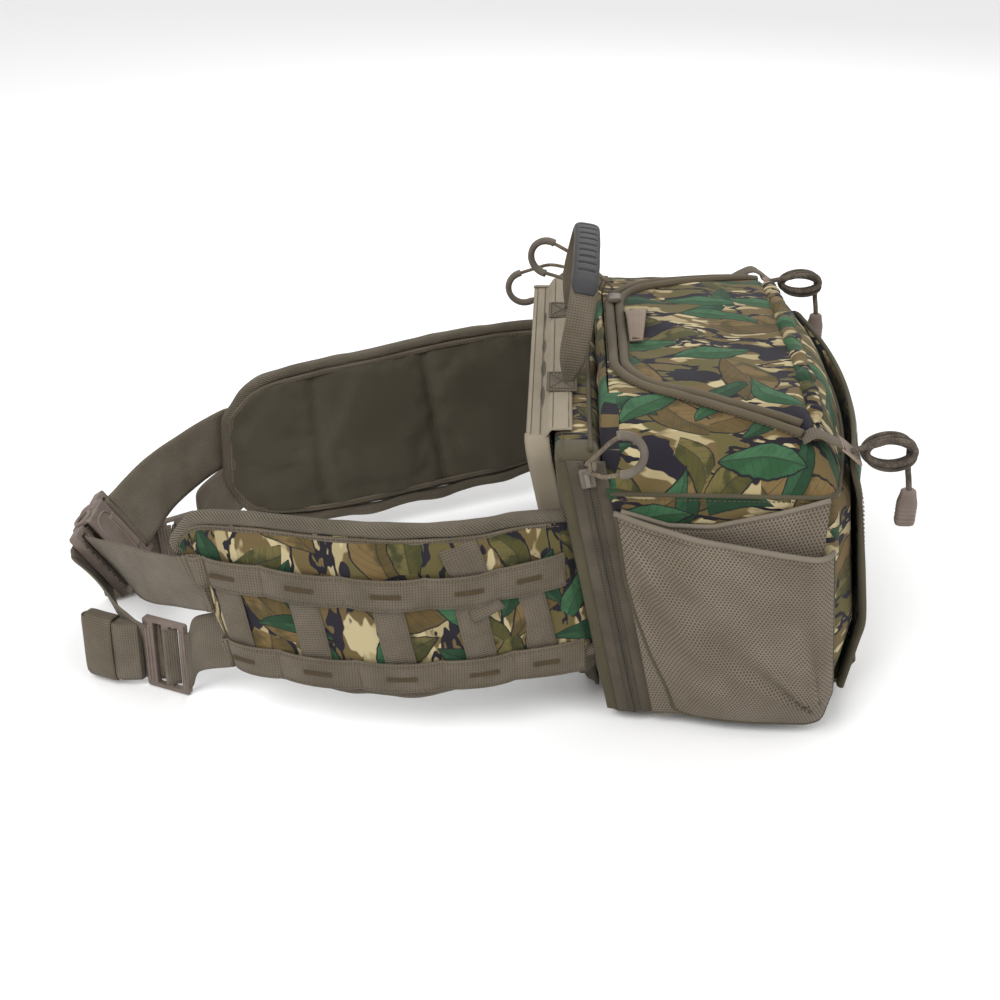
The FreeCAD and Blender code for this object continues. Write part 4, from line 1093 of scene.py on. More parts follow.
def lumbar_pad():
    """A quilted pad: two seams down it, and a bound edge."""
    y = np.linspace(-158, 158, 96)
    z = np.linspace(12, 203, 58)
    zz, yy = np.meshgrid(z, y, indexing="ij")
    edge = np.minimum(1 - np.abs(yy / 158.0), 1 - np.abs((zz - 107.5) / 95.5))
    rise = np.clip(edge * 7, 0, 1) ** 0.5
    seam = np.minimum(np.abs(np.abs(yy) - 62), np.abs(zz - (150 + 0 * yy)))
    quilt = 1 - 0.62 * np.exp(-(seam / 5.5) ** 2)
    thick = 2.5 + 13.0 * rise * quilt
    front = leaning(zz, -2.4, yy)
    back = leaning(zz, -2.4 - thick, yy)
    back = back + np.array([-1.0, 0, -0.2]) * (0.7 * ripple(back, 71, 34.0) * rise)[..., None]
    ring = np.concatenate([front, back[:, ::-1]], axis=1)
    uv = np.stack([yy, zz], axis=-1)
    uv = np.concatenate([uv, uv[:, ::-1] * [-1, 1], uv[:, :1]], axis=1)
    pad = build("lumbar_cushion", *closed_ring(ring, uv, 0 * uv), PAD_CLOTH, "bag", "pad_fabric",
                replaces=("lumbar_pad", "frame_sheet"))
    normal = np.array([-0.979, 0.0, -0.2055])

    def held(p):
        off = p[0] - float(rear(p[2], -2.4))
        rim = abs(p[1]) > 150 or p[2] < 18 or p[2] > 196
        stitched = abs(abs(p[1]) - 62) < 3.5 or abs(p[2] - 150) < 3.5
        return off > -2.0 or rim or stitched

    inflate(pad, held, 4.0, 2.6, 2.0, lambda p: np.tile(normal, (len(p), 1)), 6.0)
    edge_path = []
    for a in oval(158.5, 96.0, 160, 9.0):
        edge_path.append(leaning(107.5 + a[1], -8.5, a[0]))
    edge_path = np.array(edge_path)
    verts = sweep(edge_path, oval(3.4, 8.2, 14, 3.0), (-1.0, 0, -0.2), closed=True)
    build("lumbar_binding", *verts, BINDING, "bag", "pad_fabric")
    stitch = np.array([leaning(107.5 + a[1], -15.6, a[0]) for a in oval(152.5, 90.0, 160, 9.0)])
    threads(stitch, [-1.0, 0, -0.2], 3.5, 2.4, 0.4).build("lumbar_stitch", THREAD, "bag", "pad_fabric")
    outs = np.linspace(15.5, -17.2, 22)
    rise = 206.6 + 7.4 * np.clip((outs + 6.0) / 7.0, 0, 1) ** 1.4
    edge = 2.2 * np.clip((-14.0 - outs) / 3.2, 0, 1) ** 2 + 0.9 * np.clip((outs - 14.0) / 1.5, 0, 1)
    cap = np.array([leaning(rise - edge, outs, y) for y in np.linspace(-152, 152, 90)])
    cap[..., 2] += 0.6 * ripple(cap, 72, 30.0) + 0.25 * np.sin(cap[..., 1] / 4.3) * (np.abs(outs - 12) < 4)
    build("pad_top", *shell(cap, 1.2, cap[..., :2].copy()), BACK_CLOTH, "bag", "pad_fabric")
    sides = Parts()
    for sign in (-1, 1):
        turn = np.linspace(math.pi / 2, 0, 9)
        y = np.concatenate([[148.0], 150.0 + 13.2 * np.cos(turn), [163.2, 163.3, 163.3, 163.2, 162.5]])
        z = np.concatenate([[207.9], 194.6 + 13.2 * np.sin(turn), [180.0, 150.0, 120.0, 90.0, 60.0]])
        run = smooth_path(np.column_stack([y, z, np.zeros(len(y))]), 4.0)
        outs = np.linspace(-1.0, -17.6, 10)
        skin = np.array([leaning(np.full(10, b), outs, np.full(10, sign * a)) for a, b, _ in run])
        skin[..., 1] -= sign * 2.2 * np.clip((-14.5 - outs) / 3.1, 0, 1) ** 2
        skin[..., 1] += sign * 0.5 * ripple(skin, 73, 26.0)
        sides.add(*shell(skin, 1.2, np.stack(np.meshgrid(outs, lengths(run)), axis=-1)))
    sides.build("pad_ends", BACK_CLOTH, "bag", "pad_fabric")
    seams = []
    for offset, height in ((-13.8, 207.4), (-7.4, 207.7), (2.6, 214.7), (13.4, 214.6)):
        line = np.array([leaning(height, offset, y) for y in np.linspace(-150, 150, 60)])
        line[:, 2] += 0.6 * ripple(line, 72, 30.0)
        seams.append(threads(line, UP, 3.4, 2.4, 0.38))
    merged(*seams).build("pad_top_stitch", THREAD, "bag", "pad_fabric")


lumbar_pad()


# Side mesh pockets


def mesh_pocket(name, sign):
    """The stretch pocket: an outer skin, a skin against the side, an elastic hem and wrinkles."""
    u = np.linspace(0, 1, 60)
    v = np.linspace(0, 1, 44)
    front_edge = ([10.0, 34.0, 168.0, 177.0], [96.0, 101.0, 88.0, 85.0])
    seam_line = ([10.0, 34.0, 60.0, 90.0, 120.0, 168.0, 177.0],
                 [-6.0, -15.0, -27.0, -38.0, -47.0, -55.0, -56.0])
    hem = np.interp(u, [0, 0.12, 0.34, 0.6, 0.85, 1.0], [171, 167, 160, 153, 147, 144.5])
    rows = []
    for t in v:
        z = 10.5 + (hem - 10.5) * t
        a, b = rear(z, 34.6), np.interp(z, *front_edge)
        x = a + (b - a) * u
        rise = np.clip((x - np.interp(z, *seam_line)) / 60, 0, 1)
        fall = np.clip((b - x) / 17, 0, 1)
        full = np.sin(rise * math.pi / 2) ** 0.9 * np.sin(fall * math.pi / 2) ** 0.7
        low = np.clip((z - 8) / 26, 0, 1) ** 0.5
        depth = 17.0 * full * (0.25 + 0.75 * low) * (1 - 0.18 * t ** 3)
        rows.append(np.stack([x, -(188.3 + depth), z], axis=-1))
    p = np.array(rows)
    across_edge = np.minimum(np.minimum(u, 1 - u)[None, :] * 9, 1)
    up_edge = np.minimum(np.minimum(v * 8, 1) * np.minimum((1 - v) * 7 + 0.25, 1), 1)
    edge = across_edge * up_edge[:, None]
    x, z = p[..., 0], p[..., 2]
    drag = np.sin((x * 0.80 + z * 0.62) / 7.2 + 0.8 * ripple(p, 81, 70.0))
    drag = drag * np.exp(-(((x + 10) / 46) ** 2)) * np.clip((z - 20) / 60, 0, 1)
    fold = 1.9 * np.exp(-((x - 74 + 0.10 * (z - 60)) / 5.5) ** 2) * np.exp(-((z - 58) / 36) ** 2)
    dent = 1.3 * np.exp(-((x - 60 + 0.10 * (z - 60)) / 6.5) ** 2) * np.exp(-((z - 58) / 36) ** 2)
    soft = 1.1 * ripple(p * [1, 0.2, 0.55], 82, 34.0) + 0.45 * ripple(p, 83, 13.0)
    angle, reach = np.arctan2(z - 20, 92 - x), np.hypot(z - 20, 92 - x)
    for turn, narrow, high, far in ((0.50, 0.07, 2.6, 90), (0.66, 0.075, -3.8, 110), (0.84, 0.08, 2.2, 95),
                                    (1.26, 0.06, 2.2, 85), (1.38, 0.06, -3.4, 85), (1.52, 0.06, 1.6, 80)):
        fan = np.exp(-((angle - turn) / narrow) ** 2 - (reach / far) ** 2)
        soft = soft + high * fan * np.clip(reach / 9, 0, 1)
    angle, reach = np.arctan2(z - 176, x + 62), np.hypot(z - 176, x + 62)
    for turn, narrow, high, far in ((-1.16, 0.07, -3.6, 120), (-1.02, 0.07, 2.2, 120),
                                    (-0.86, 0.07, -2.8, 110), (-0.70, 0.07, 1.8, 95)):
        soft = soft + high * np.exp(-((angle - turn) / narrow) ** 2 - ((reach - 75) / far * 2) ** 2)
    beyond = np.clip((x - np.interp(z, *seam_line)) / 8, 0, 1)
    p[..., 1] -= beyond * edge * (0.9 * drag + fold - dent + soft - 0.6)
    p[..., 1] = np.maximum(p[..., 1], -209.5)
    p[..., 1] *= -sign
    across = np.linspace(0, 136, 60)
    uv = np.stack(np.meshgrid(across, v * 160), axis=-1)
    skin = build(name + "_pocket_skin", *shell(p, 1.5, uv, flip=sign > 0), MESH, "bag", "mesh_fabric",
                 replaces=(name + "_mesh_pocket",))
    x = np.linspace(-52, 84, 40)
    back_hem = np.interp(x, [-52, -20, 10, 50, 84], [173, 163, 163, 173, 184])
    zz = 100 + (back_hem - 100)[None, :] * np.linspace(0, 1, 12)[:, None]
    x = np.maximum(x, rear(zz, 37.0))
    back = np.stack([x, np.full_like(zz, 189.2), zz], axis=-1)
    back[..., 1] += 0.5 * ripple(back, 84, 24.0)
    back[..., 1] *= sign
    build(name + "_pocket_back", *shell(back, 1.2, None, flip=sign > 0), MESH, "bag", "mesh_fabric")
    rim = p[-1] + [0, sign * 0.2, 0.0]
    outward = np.array([0, sign, 0.0])
    hem_tape = sweep(rim, oval(2.0, 1.9, 10), outward)
    build(name + "_pocket_hem", *hem_tape, MESH_HEM, "bag", "mesh_fabric")
    stitch = threads(rim - [0, -sign * 0.4, 5.5], outward, 3.1, 2.2, 0.36)
    stitch.build(name + "_pocket_hem_stitch", THREAD, "bag", "mesh_fabric")
    rim = back[-1] + [0, sign * 0.2, 0.0]
    hem_tape = sweep(rim, oval(1.8, 1.6, 10), outward)
    build(name + "_pocket_back_hem", *hem_tape, MESH_HEM, "bag", "mesh_fabric")
    seam_z = np.linspace(170.0, 11.0, 40)
    seam = np.column_stack([np.interp(seam_z, *seam_line), np.full(40, sign * 188.9), seam_z])
    border = np.vstack([seam, p[0, 24:], p[1:, -1]]) + [0, sign * 0.2, 0.0]
    build(name + "_pocket_piping", *sweep(smooth_path(border[::2], 3.0), oval(1.3, 1.2, 10), (0, sign, 0.0)),
          GUSSET_CLOTH, "bag", "mesh_fabric")
    return skin


for side_name, side_sign in SIDES.items():
    mesh_pocket(side_name, side_sign)


# Front carry flap

def flap_x(y, z):
    edge = np.interp(z, [10, 68, 164, 189], [114, 124, 111, 103])
    mid = np.interp(z, [10, 68, 164, 189], [128, 136, 126, 120])
    return edge + (mid - edge) * (1 - (y / 146.0) ** 2)


def carry_flap():
    y = np.linspace(-146, 146, 110)
    z = np.linspace(11.5, 189, 74)
    zz, yy = np.meshgrid(z, y, indexing="ij")
    x = flap_x(yy, zz)
    for _ in range(6):
        x[1:-1] = (x[:-2] + 2 * x[1:-1] + x[2:]) / 4
    p = np.stack([x + 1.5, yy, zz], axis=-1)
    edge = np.minimum(1, np.minimum((146 - np.abs(yy)) / 18, (189 - zz) / 14 + 0.1))
    sag = 1.6 * ripple(p * [1, 1, 0.5], 91, 74.0) + 0.7 * ripple(p * [1, 1, 0.8], 92, 26.0)
    rays = np.sin(np.arctan2(189 - zz + 30, np.abs(yy) - 190) * 22) * np.exp(-((np.abs(yy) - 120) / 40) ** 2
                                                                            - ((zz - 165) / 40) ** 2)
    p[..., 0] += edge * (sag + 0.8 * rays)
    uv = np.stack([yy + 500, zz + 40], axis=-1)
    sheet = build("flap_cloth", *shell(p, 2.6, uv), CAMO, "bag", "camo_fabric", replaces=("carry_flap",))
    y = np.linspace(-174, 174, 100)
    z = np.linspace(14, 186, 60)
    zz, yy = np.meshgrid(z, y, indexing="ij")
    wall = np.interp(zz, SECTIONS[:, 0], SECTIONS[:, 1]) - 4.5
    full = np.clip(np.minimum((zz - 14) / 22, (186 - zz) / 16), 0, 1) ** 0.5
    full = full * np.clip((174 - np.abs(yy)) / 27, 0, 1) ** 0.6
    p = np.stack([wall + (flap_x(yy, zz) - 5.0 - wall) * full, yy, zz], axis=-1)
    p[..., 0] += 0.7 * full * (ripple(p * [1, 1, 0.6], 93, 40.0) - 1)
    build("front_compartment", *shell(p, 1.4, np.stack([yy + 260, zz], axis=-1)), CAMO, "bag", "camo_fabric")
    deep, wide = np.linspace(96, 129, 6)[:, None], np.linspace(-146, 146, 40)[None, :]
    floor = np.stack(np.broadcast_arrays(deep, wide, 11.5), axis=-1).astype(float)
    floor[..., 0] = 100 + (flap_x(floor[..., 1], 11.5) + 2.5 - 100) * np.linspace(0, 1, 6)[:, None]
    build("flap_floor", *shell(floor, 2.2, floor[..., :2] + [700, 0]), CAMO, "bag", "camo_fabric")
    side = np.linspace(11, 186, 40)
    left = np.stack([flap_x(146.0, side) + 1.5, np.full(40, -149.5), side], axis=-1)
    across = np.linspace(-142, 142, 60)
    top = np.stack([flap_x(across, 189.0) + 1.5, across, np.full(60, 192.5)], axis=-1)
    right = left[::-1] * [1, -1, 1]
    path = smooth_path(np.vstack([left[::3], top[::3], right[::3]]), 3.0)
    side_flat = np.gradient(path, axis=0)
    normal = np.array([1.0, 0, 0])
    slim = 0.42 + 0.58 * np.clip((150 - path[:, 2]) / 40, 0, 1)
    roll = sweep(path, oval(4.2, 2.7, 16, 2.6), normal, np.stack([slim, np.sqrt(slim)], axis=1))
    build("flap_binding", *roll, GUSSET_CLOTH, "bag", "binding_tape", replaces=("carry_flap_binding",))
    inner = path + unit(np.cross(side_flat, normal)) * 3.0 + normal * 2.6
    threads(inner, normal, 3.4, 2.4, 0.38).build("flap_binding_stitch", THREAD, "bag", "binding_tape")
    tabs = Parts()
    for sign in (-1, 1):
        line = [(96, sign * 120, 18), (118, sign * 128, 16), (127, sign * 132, 30)]
        tabs.add(*strap_mesh(line, (0, 1, 0), 22, 1.6))
    tabs.build("flap_foot_webs", WEBBING, "bag", "webbing")


carry_flap()


# Belt wings

STATIONS = {  # bottom and top of the wing's middle surface, from the bag to the tip
    "left": [
        ((-71, -178, 54), (-96, -178, 165)), ((-104, -187, 49), (-120, -190, 169)),
        ((-146, -200, 44), (-150, -208, 172)), ((-196, -208, 40), (-198, -218, 174)),
        ((-250, -204, 43), (-250, -214, 174)), ((-296, -193, 46), (-306, -200, 171)),
        ((-316, -185, 54), (-338, -192, 164)), ((-328, -180, 84), (-351, -188, 144)),
    ],
    "right": [
        ((-68, 178, 42), (-95, 179, 164)), ((-96, 168, 34), (-116, 181, 164)),
        ((-142, 144, 28), (-148, 174, 163)), ((-192, 122, 25), (-198, 155, 161)),
        ((-248, 92, 24), (-256, 122, 158)), ((-302, 68, 24), (-308, 94, 156)),
        ((-350, 58, 30), (-350, 72, 147)), ((-374, 56, 60), (-372, 60, 118)),
    ],
}
ROWS = {"left": ((44.0, 69.0), (113.0, 138.0)), "right": ((34.0, 59.0), (103.0, 128.0))}
SEAMS = {"left": (0.36, 0.68), "right": (0.40, 0.72)}  # stitched columns, as shares of the wing's length


class Wing:
    """A belt wing's middle surface. along runs 0 to 1 from bag to tip and up runs 0 to 1."""

    def __init__(self, name):
        rows = np.array(STATIONS[name], float)
        self.sign = SIDES[name]
        self.low, self.high = (smooth_path(rows[:, k], 2.5) for k in (0, 1))
        count = 160
        self.low, self.high = (self.even(line, count) for line in (self.low, self.high))
        marks = lengths((rows[:, 0] + rows[:, 1]) / 2)
        self.marks = marks / marks[-1]
        self.length = marks[-1]

    @staticmethod
    def even(line, count):
        s = lengths(line)
        t = np.linspace(0, s[-1], count)
        return np.stack([np.interp(t, s, line[:, k]) for k in range(3)], axis=1)

    def line(self, which, along):
        t = np.asarray(along, float) * (len(which) - 1)
        return np.stack([np.interp(t, np.arange(len(which)), which[:, k]) for k in range(3)], axis=-1)

    def normal(self, along):
        a, b = np.clip(np.asarray(along) - 0.02, 0, 1), np.clip(np.asarray(along) + 0.02, 0, 1)
        ahead, behind = (self.line(self.low, t) + self.line(self.high, t) for t in (b, a))
        up = self.line(self.high, along) - self.line(self.low, along)
        n = unit(np.cross(ahead - behind, up))
        return n * np.where(n[..., 1:2] * self.sign > 0, 1, -1)

    def point(self, along, up, out=0.0):
        """Points at shares along and up the wing, and millimetres out from its middle surface."""
        low, high = self.line(self.low, along), self.line(self.high, along)
        rise = (high - low) * np.asarray(up)[..., None]
        return low + rise + self.normal(along) * np.asarray(out)[..., None]

    def up_at(self, along, z):
        low, high = self.line(self.low, along)[..., 2], self.line(self.high, along)[..., 2]
        return (z - low) / (high - low)


WINGS = {side: Wing(side) for side in SIDES}


def wing_pad(name):
    """Quilted foam: seamed columns, a soft inner face, and a flatter outer face under the webbing."""
    wing = WINGS[name]
    a = np.linspace(0.0, 1.0, 92)
    u = np.linspace(0.03, 0.97, 46)
    uu, aa = np.meshgrid(u, a)
    columns = np.min([np.abs(aa - s) for s in SEAMS[name]] + [np.abs(aa - 0.0)], axis=0) * wing.length
    rim = np.minimum(np.minimum(uu - 0.03, 0.97 - uu) * 125, (1 - aa) * wing.length)
    rise = np.clip(rim / 9, 0, 1) ** 0.5
    quilt = 1 - 0.75 * np.exp(-(columns / 5.0) ** 2)
    soft = ripple(wing.point(aa, uu), 101, 42.0)
    inner = -1.5 - 4.4 * rise * quilt - 0.7 * rise * soft
    outer = 1.5 + 3.8 * rise * (1 - 0.35 * (1 - quilt)) + 0.4 * rise * soft
    front = wing.point(aa, uu, outer)
    back = wing.point(aa, uu, inner)
    ring = np.concatenate([front, back[:, ::-1]], axis=1)
    uv = np.stack([uu * 125, aa * wing.length], axis=-1)
    uv = np.concatenate([uv, uv[:, ::-1] * [1, 1] + [200, 0], uv[:, :1]], axis=1)
    body = name + "_belt"
    pad = build(name + "_wing_cushion", *closed_ring(ring, uv, 0 * uv), PAD_CLOTH, body, "pad_fabric",
                replaces=(name + "_wing_pad",))
    face = wing.point(aa[:, 1:-1], uu[:, 1:-1], outer[:, 1:-1] + 0.5 + 0.3 * soft[:, 1:-1])
    uv = np.stack([uu[:, 1:-1] * 125, aa[:, 1:-1] * wing.length], axis=-1)
    build(name + "_wing_face", *shell(face, 0.9, uv, flip=SIDES[name] > 0), CAMO, body, "camo_fabric")
    middle = wing.point(aa, uu).reshape(-1, 3)
    flat_a, flat_u = aa.ravel(), uu.ravel()
    normals = wing.normal(aa).reshape(-1, 3)

    def near(p):
        return int(np.argmin(np.sum((middle - p) ** 2, axis=1)))

    def held(p):
        k = near(p)
        out = float((p - middle[k]) @ normals[k])
        edge = min(flat_u[k] - 0.03, 0.97 - flat_u[k]) * 125 < 5 or (1 - flat_a[k]) * wing.length < 5
        seam = min([abs(flat_a[k] - s) for s in SEAMS[name]] + [flat_a[k]]) * wing.length < 3.2
        return edge or seam or out > 1.0

    inflate(pad, held, 4.0, 0.6, 3.4, lambda p: np.array([normals[near(q)] for q in p]), 5.0)


def wing_edge(wing, up_inset=0.0, along_inset=0.0, sag=0.0, tuck=0.0):
    """The wing's bound edge, from the root along the bottom, round the tip and back along the top."""
    reach = 1.0 - along_inset
    run = np.linspace(0.0, reach, 46)
    droop = sag * np.sin(run / reach * math.pi) * (1 + 0.45 * np.sin(run * 34.0))
    bottom = wing.point(run, 0.022 + up_inset - droop)
    tip = wing.point(reach, np.linspace(0.022 + up_inset, 0.978 - up_inset, 14)[1:-1])
    top = wing.point(run[::-1], 0.978 - up_inset)
    bottom[0] += tuck * unit(bottom[0] - bottom[2])
    top[-1] += tuck * unit(top[-1] - top[-3])
    normals = np.vstack([wing.normal(run), wing.normal(np.full(12, reach)), wing.normal(run[::-1])])
    rows = np.hstack([np.vstack([bottom, tip, top]), normals])
    path = smooth_path(np.vstack([rows[:-1:2], rows[-1:]]), 3.0)
    return path[:, :3], unit(path[:, 3:])


def wing_binding(name):
    wing = WINGS[name]
    path, normals = wing_edge(wing, sag=0.026, tuck=11.0)
    puff = 1 + 0.06 * ripple(path, 111, 22.0)
    roll = sweep(path, oval(4.7, 5.6, 18, 2.3), normals, np.stack([puff, puff], axis=1))
    build(name + "_wing_roll", *roll, BINDING, name + "_belt", "binding_tape",
          replaces=(name + "_wing_binding",))
    for face, out in (("outer", 5.0), ("inner", -5.4)):
        path, normals = wing_edge(wing, 0.046, 0.02)
        line = path + normals * out
        across = np.cross(unit(np.gradient(line, axis=0)), normals)
        verts = strap_mesh(line[::3], across[::3], 4.6, 1.0, slack=0.1, columns=5)
        build("%s_wing_tape_%s" % (name, face), *verts, WEBBING, name + "_belt", "binding_tape")
        lift = math.copysign(0.75, out)
        threads(line + normals * lift, normals * np.sign(out), 3.5, 2.5, 0.4).build(
            "%s_wing_tape_stitch_%s" % (name, face), THREAD, name + "_belt", "binding_tape")
    seams = []
    for s in SEAMS[name]:
        u = np.linspace(0.08, 0.92, 40)
        for side in (-1, 1):
            line = wing.point(s, u, side * (2.8 if side < 0 else 4.3))
            seams.append(threads(line, wing.normal(s) * side, 3.6, 2.6, 0.4))
    merged(*seams).build(name + "_wing_seams", THREAD, name + "_belt", "pad_fabric")


def wing_molle(name):
    """Two rows of webbing loops over upright slats, tacked between the slats."""
    wing = WINGS[name]
    marks = wing.marks
    tacks = [0.02] + [(marks[k] + marks[k + 1]) / 2 for k in range(1, 6)] + [marks[7] - 0.045]
    body = name + "_belt"
    slats = Parts()
    for k in range(1, 6):
        steps = np.linspace(ROWS[name][0][0] + 7, ROWS[name][1][1] - 4, 9)
        a = marks[k] + (steps - 90) * 0.00012
        line = wing.point(a, wing.up_at(a, steps), 6.6)
        run = unit(wing.line(wing.low, marks[k] + 0.01) - wing.line(wing.low, marks[k] - 0.01))
        slats.add(*strap_mesh(line, run, 21.0, 1.3, slack=0.25, seed=120 + k))
    slats.build(name + "_slats", WEBBING, body, "webbing", replaces=(name + "_molle_slats",))
    rows, pins, ticks, bars = Parts(), [], [], []
    for number, (z0, z1) in enumerate(ROWS[name]):
        run = np.linspace(0.012, marks[7] - 0.035, 70)
        wave = np.zeros(70)
        for left, right in zip(tacks, tacks[1:]):
            inside = (run >= left) & (run <= right)
            t = (run[inside] - left) / (right - left)
            wave[inside] = np.sin(t * math.pi) ** 0.6 * 3.2
        up = wing.up_at(run, (z0 + z1) / 2)
        line = wing.point(run, up, 6.6 + wave)
        across = unit(wing.line(wing.high, run) - wing.line(wing.low, run))
        rows.add(*strap_mesh(line, across, 25.0, 1.8, step=2.4, slack=0.2, columns=9, seed=130 + number))
        for t in tacks:
            u0, u1 = wing.up_at(np.array([t, t]), np.array([z0 + 3.2, z1 - 3.2]))
            bar = wing.point(t, np.linspace(u0, u1, 12), 7.6)
            pins.append(threads(bar, wing.normal(t), 0.9, 1.7, 0.45, across=True))
        for k in range(1, 6):
            reach = 9.0 / wing.length
            along = np.linspace(marks[k] - reach, marks[k] + reach, 12)
            bar = wing.point(along, wing.up_at(along, (z0 + z1) / 2), 10.9)
            bars.append(threads(bar, wing.normal(along), 0.8, 3.4, 0.5, across=True))
        for z in (z0 + 2.2, z1 - 2.2):
            edge = wing.point(run, wing.up_at(run, z), 7.6 + wave)
            ticks.append(threads(edge, wing.normal(run), 3.4, 2.3, 0.3))
    rows.build(name + "_loops", WEBBING, body, "webbing", replaces=(name + "_molle_rows",))
    merged(*bars).build(name + "_bar_tacks", TACK, body, "webbing")
    merged(*pins).build(name + "_loop_folds", THREAD, body, "webbing")
    merged(*ticks).build(name + "_loop_stitch", THREAD, body, "webbing")
    if name == "left":
        at = marks[2] + np.array([0.006, 0.002, -0.008, -0.018, -0.028, -0.036])
        line = wing.point(at, wing.up_at(at, np.array([162.0, 154.0, 142.0, 127.0, 112.0, 103.0])),
                          np.array([4.6, 6.6, 7.0, 6.5, 7.0, 8.6]))
        run = unit(wing.line(wing.low, marks[2] + 0.03) - wing.line(wing.low, marks[2] - 0.03))
        tab = strap_mesh(line, run, [26, 26, 25, 22, 22, 24], 1.2, slack=0.3, columns=9, seed=141)
        build("hanging_tab", *tab, WEBBING, body, "webbing")


def wing_root(name):
    """The sleeve of cloth that joins the wing to the bag."""
    wing = WINGS[name]
    sign = SIDES[name]
    rows = []
    for f in np.linspace(0, 1, 14):
        u = np.linspace(0.06, 0.94, 30)
        end = wing.point(0.035, u, -0.4)
        start = wing.point(0.0, u) + np.array([14.0, -sign * 12.0, 0.0])
        middle = wing.point(0.0, u) + np.array([4.0, -sign * 2.5, 0.0])
        row = start * (1 - f) ** 2 + 2 * middle * f * (1 - f) + end * f * f
        rows.append(row)
    p = np.array(rows)
    p[..., 1] += sign * 0.8 * ripple(p, 151, 20.0)
    start, end = p[0].mean(axis=0), p[-1].mean(axis=0)
    blend = (("bag", name + "_belt"), tuple(vec(*start)), tuple(vec(*end)))
    build(name + "_wing_root", *shell(p, 6.0), PAD_CLOTH, None, "pad_fabric", blend=blend)
    lift = np.linspace(3.4, 5.9, 14)[:, None, None]
    face = p + wing.normal(np.zeros((14, 30))) * lift
    up_uv, along_uv = np.linspace(7.5, 117.5, 30), np.linspace(-16.0, 9.0, 14)[:, None]
    uv = np.stack(np.broadcast_arrays(up_uv, along_uv), axis=-1)
    build(name + "_root_face", *shell(face, 0.9, uv, flip=sign > 0), CAMO, None, "camo_fabric", blend=blend)


for side_name in SIDES:
    wing_pad(side_name)
    wing_binding(side_name)
    wing_molle(side_name)
    wing_root(side_name)


# The buckle and the belt webbing

BUCKLE = np.array([-438.0, -84.0, 70.0])
PULL = unit([0.0, 1.0, 0.05])
ACROSS = unit(np.array([-0.56, 0, 0.83]) - PULL * (np.array([-0.56, 0, 0.83]) @ PULL))
FACE = np.cross(PULL, ACROSS)
LOCK = {"left": np.array([-377.0, -158, 29.5]), "right": np.array([-404.0, -4, 29.5])}
LOCK_DIR = {"left": unit([-0.93, 0.36, 0.0]), "right": unit([-0.80, -0.60, 0.0])}
LOCK_UP = unit([-0.14, 0.10, 1.0])


def at_buckle(p):
    p = np.asarray(p, float)
    return BUCKLE + p[..., :1] * PULL + p[..., 1:2] * ACROSS + p[..., 2:3] * FACE


def lock_axes(name):
    along = LOCK_DIR[name]
    across = unit(LOCK_UP - along * (LOCK_UP @ along))
    return along, across, np.cross(along, across)


def buckle():
    """The two halves from the frame, with rounded edges, and their moulded details."""
    softened("buckle_female", "buckle_housing", PLASTIC, "right_belt", 1.1, 3)
    softened("buckle_male", "buckle_tongue", PLASTIC, "left_belt", 0.9, 3)
    softened("buckle_prong_upper", "buckle_arm_upper", PLASTIC, "prong_upper", 0.5, 2)
    softened("buckle_prong_lower", "buckle_arm_lower", PLASTIC, "prong_lower", 0.5, 2)
    detail = Parts()
    for s in (-1, 1):
        t = np.linspace(0, 2 * math.pi, 40, endpoint=False)
        ring = at_buckle(np.stack([9.5 + 8.6 * np.cos(t), np.full(40, s * 31.4), 5.9 * np.sin(t)], axis=1))
        detail.add(*tube(ring, 1.6, 10, PULL, closed=True))
        shoulder = at_buckle(np.array([[20.0, s * 30.6, 0], [28.0, s * 30.0, 0], [33.0, s * 26.0, 0]]))
        detail.add(*sweep(smooth_path(shoulder, 1.5), oval(2.6, 7.2, 14, 3.0), FACE))
    for face in (-1, 1):
        rim = oval(13.0, 24.0, 60, 3.4)
        ring = at_buckle(np.column_stack([16.5 + rim[:, 0], rim[:, 1], np.full(60, face * 8.6)]))
        detail.add(*tube(ring, 0.75, 8, FACE, closed=True))
        for x in (24.0, 27.5, 31.0):
            rib = at_buckle(np.array([[x, y, face * 8.5] for y in np.linspace(-17, 17, 14)]))
            detail.add(*sweep(rib, oval(0.9, 0.8, 8), FACE))
    detail.build("buckle_housing_detail", PLASTIC, "right_belt", "buckle_plastic")
    teeth = Parts()
    for x in (-17.3, -5.2):
        for y in np.linspace(-21, 21, 8):
            bead = at_buckle(np.array([[x, y + d, 3.5] for d in np.linspace(-2, 2, 6)]))
            teeth.add(*sweep(bead, oval(0.8, 0.6, 8), FACE))
    for sign in (1, -1):
        hook = at_buckle(np.array([[-3.0, sign * s, 0] for s in np.linspace(25.5, 30.5, 6)]))
        teeth.add(*sweep(hook, oval(2.6, 3.2, 12, 3.0), FACE))
    teeth.build("buckle_tongue_detail", PLASTIC, "left_belt", "buckle_plastic")
    for name in SIDES:
        softened(name + "_ladder_lock", name + "_lock_frame", PLASTIC, name + "_belt",
                 0.9, 3)
        along, across, face = lock_axes(name)
        ribs = Parts()
        for x, out in [(x, out) for x in (-15.6, -0.8, -2.6, 12.4, 15.2) for out in (-3.0, 3.0)]:
            bar = LOCK[name] + along * x + face * out + across * np.linspace(-24, 24, 20)[:, None]
            ribs.add(*sweep(bar, oval(0.75, 0.9, 8), face))
        ribs.build(name + "_lock_ribs", PLASTIC, name + "_belt", "buckle_plastic")


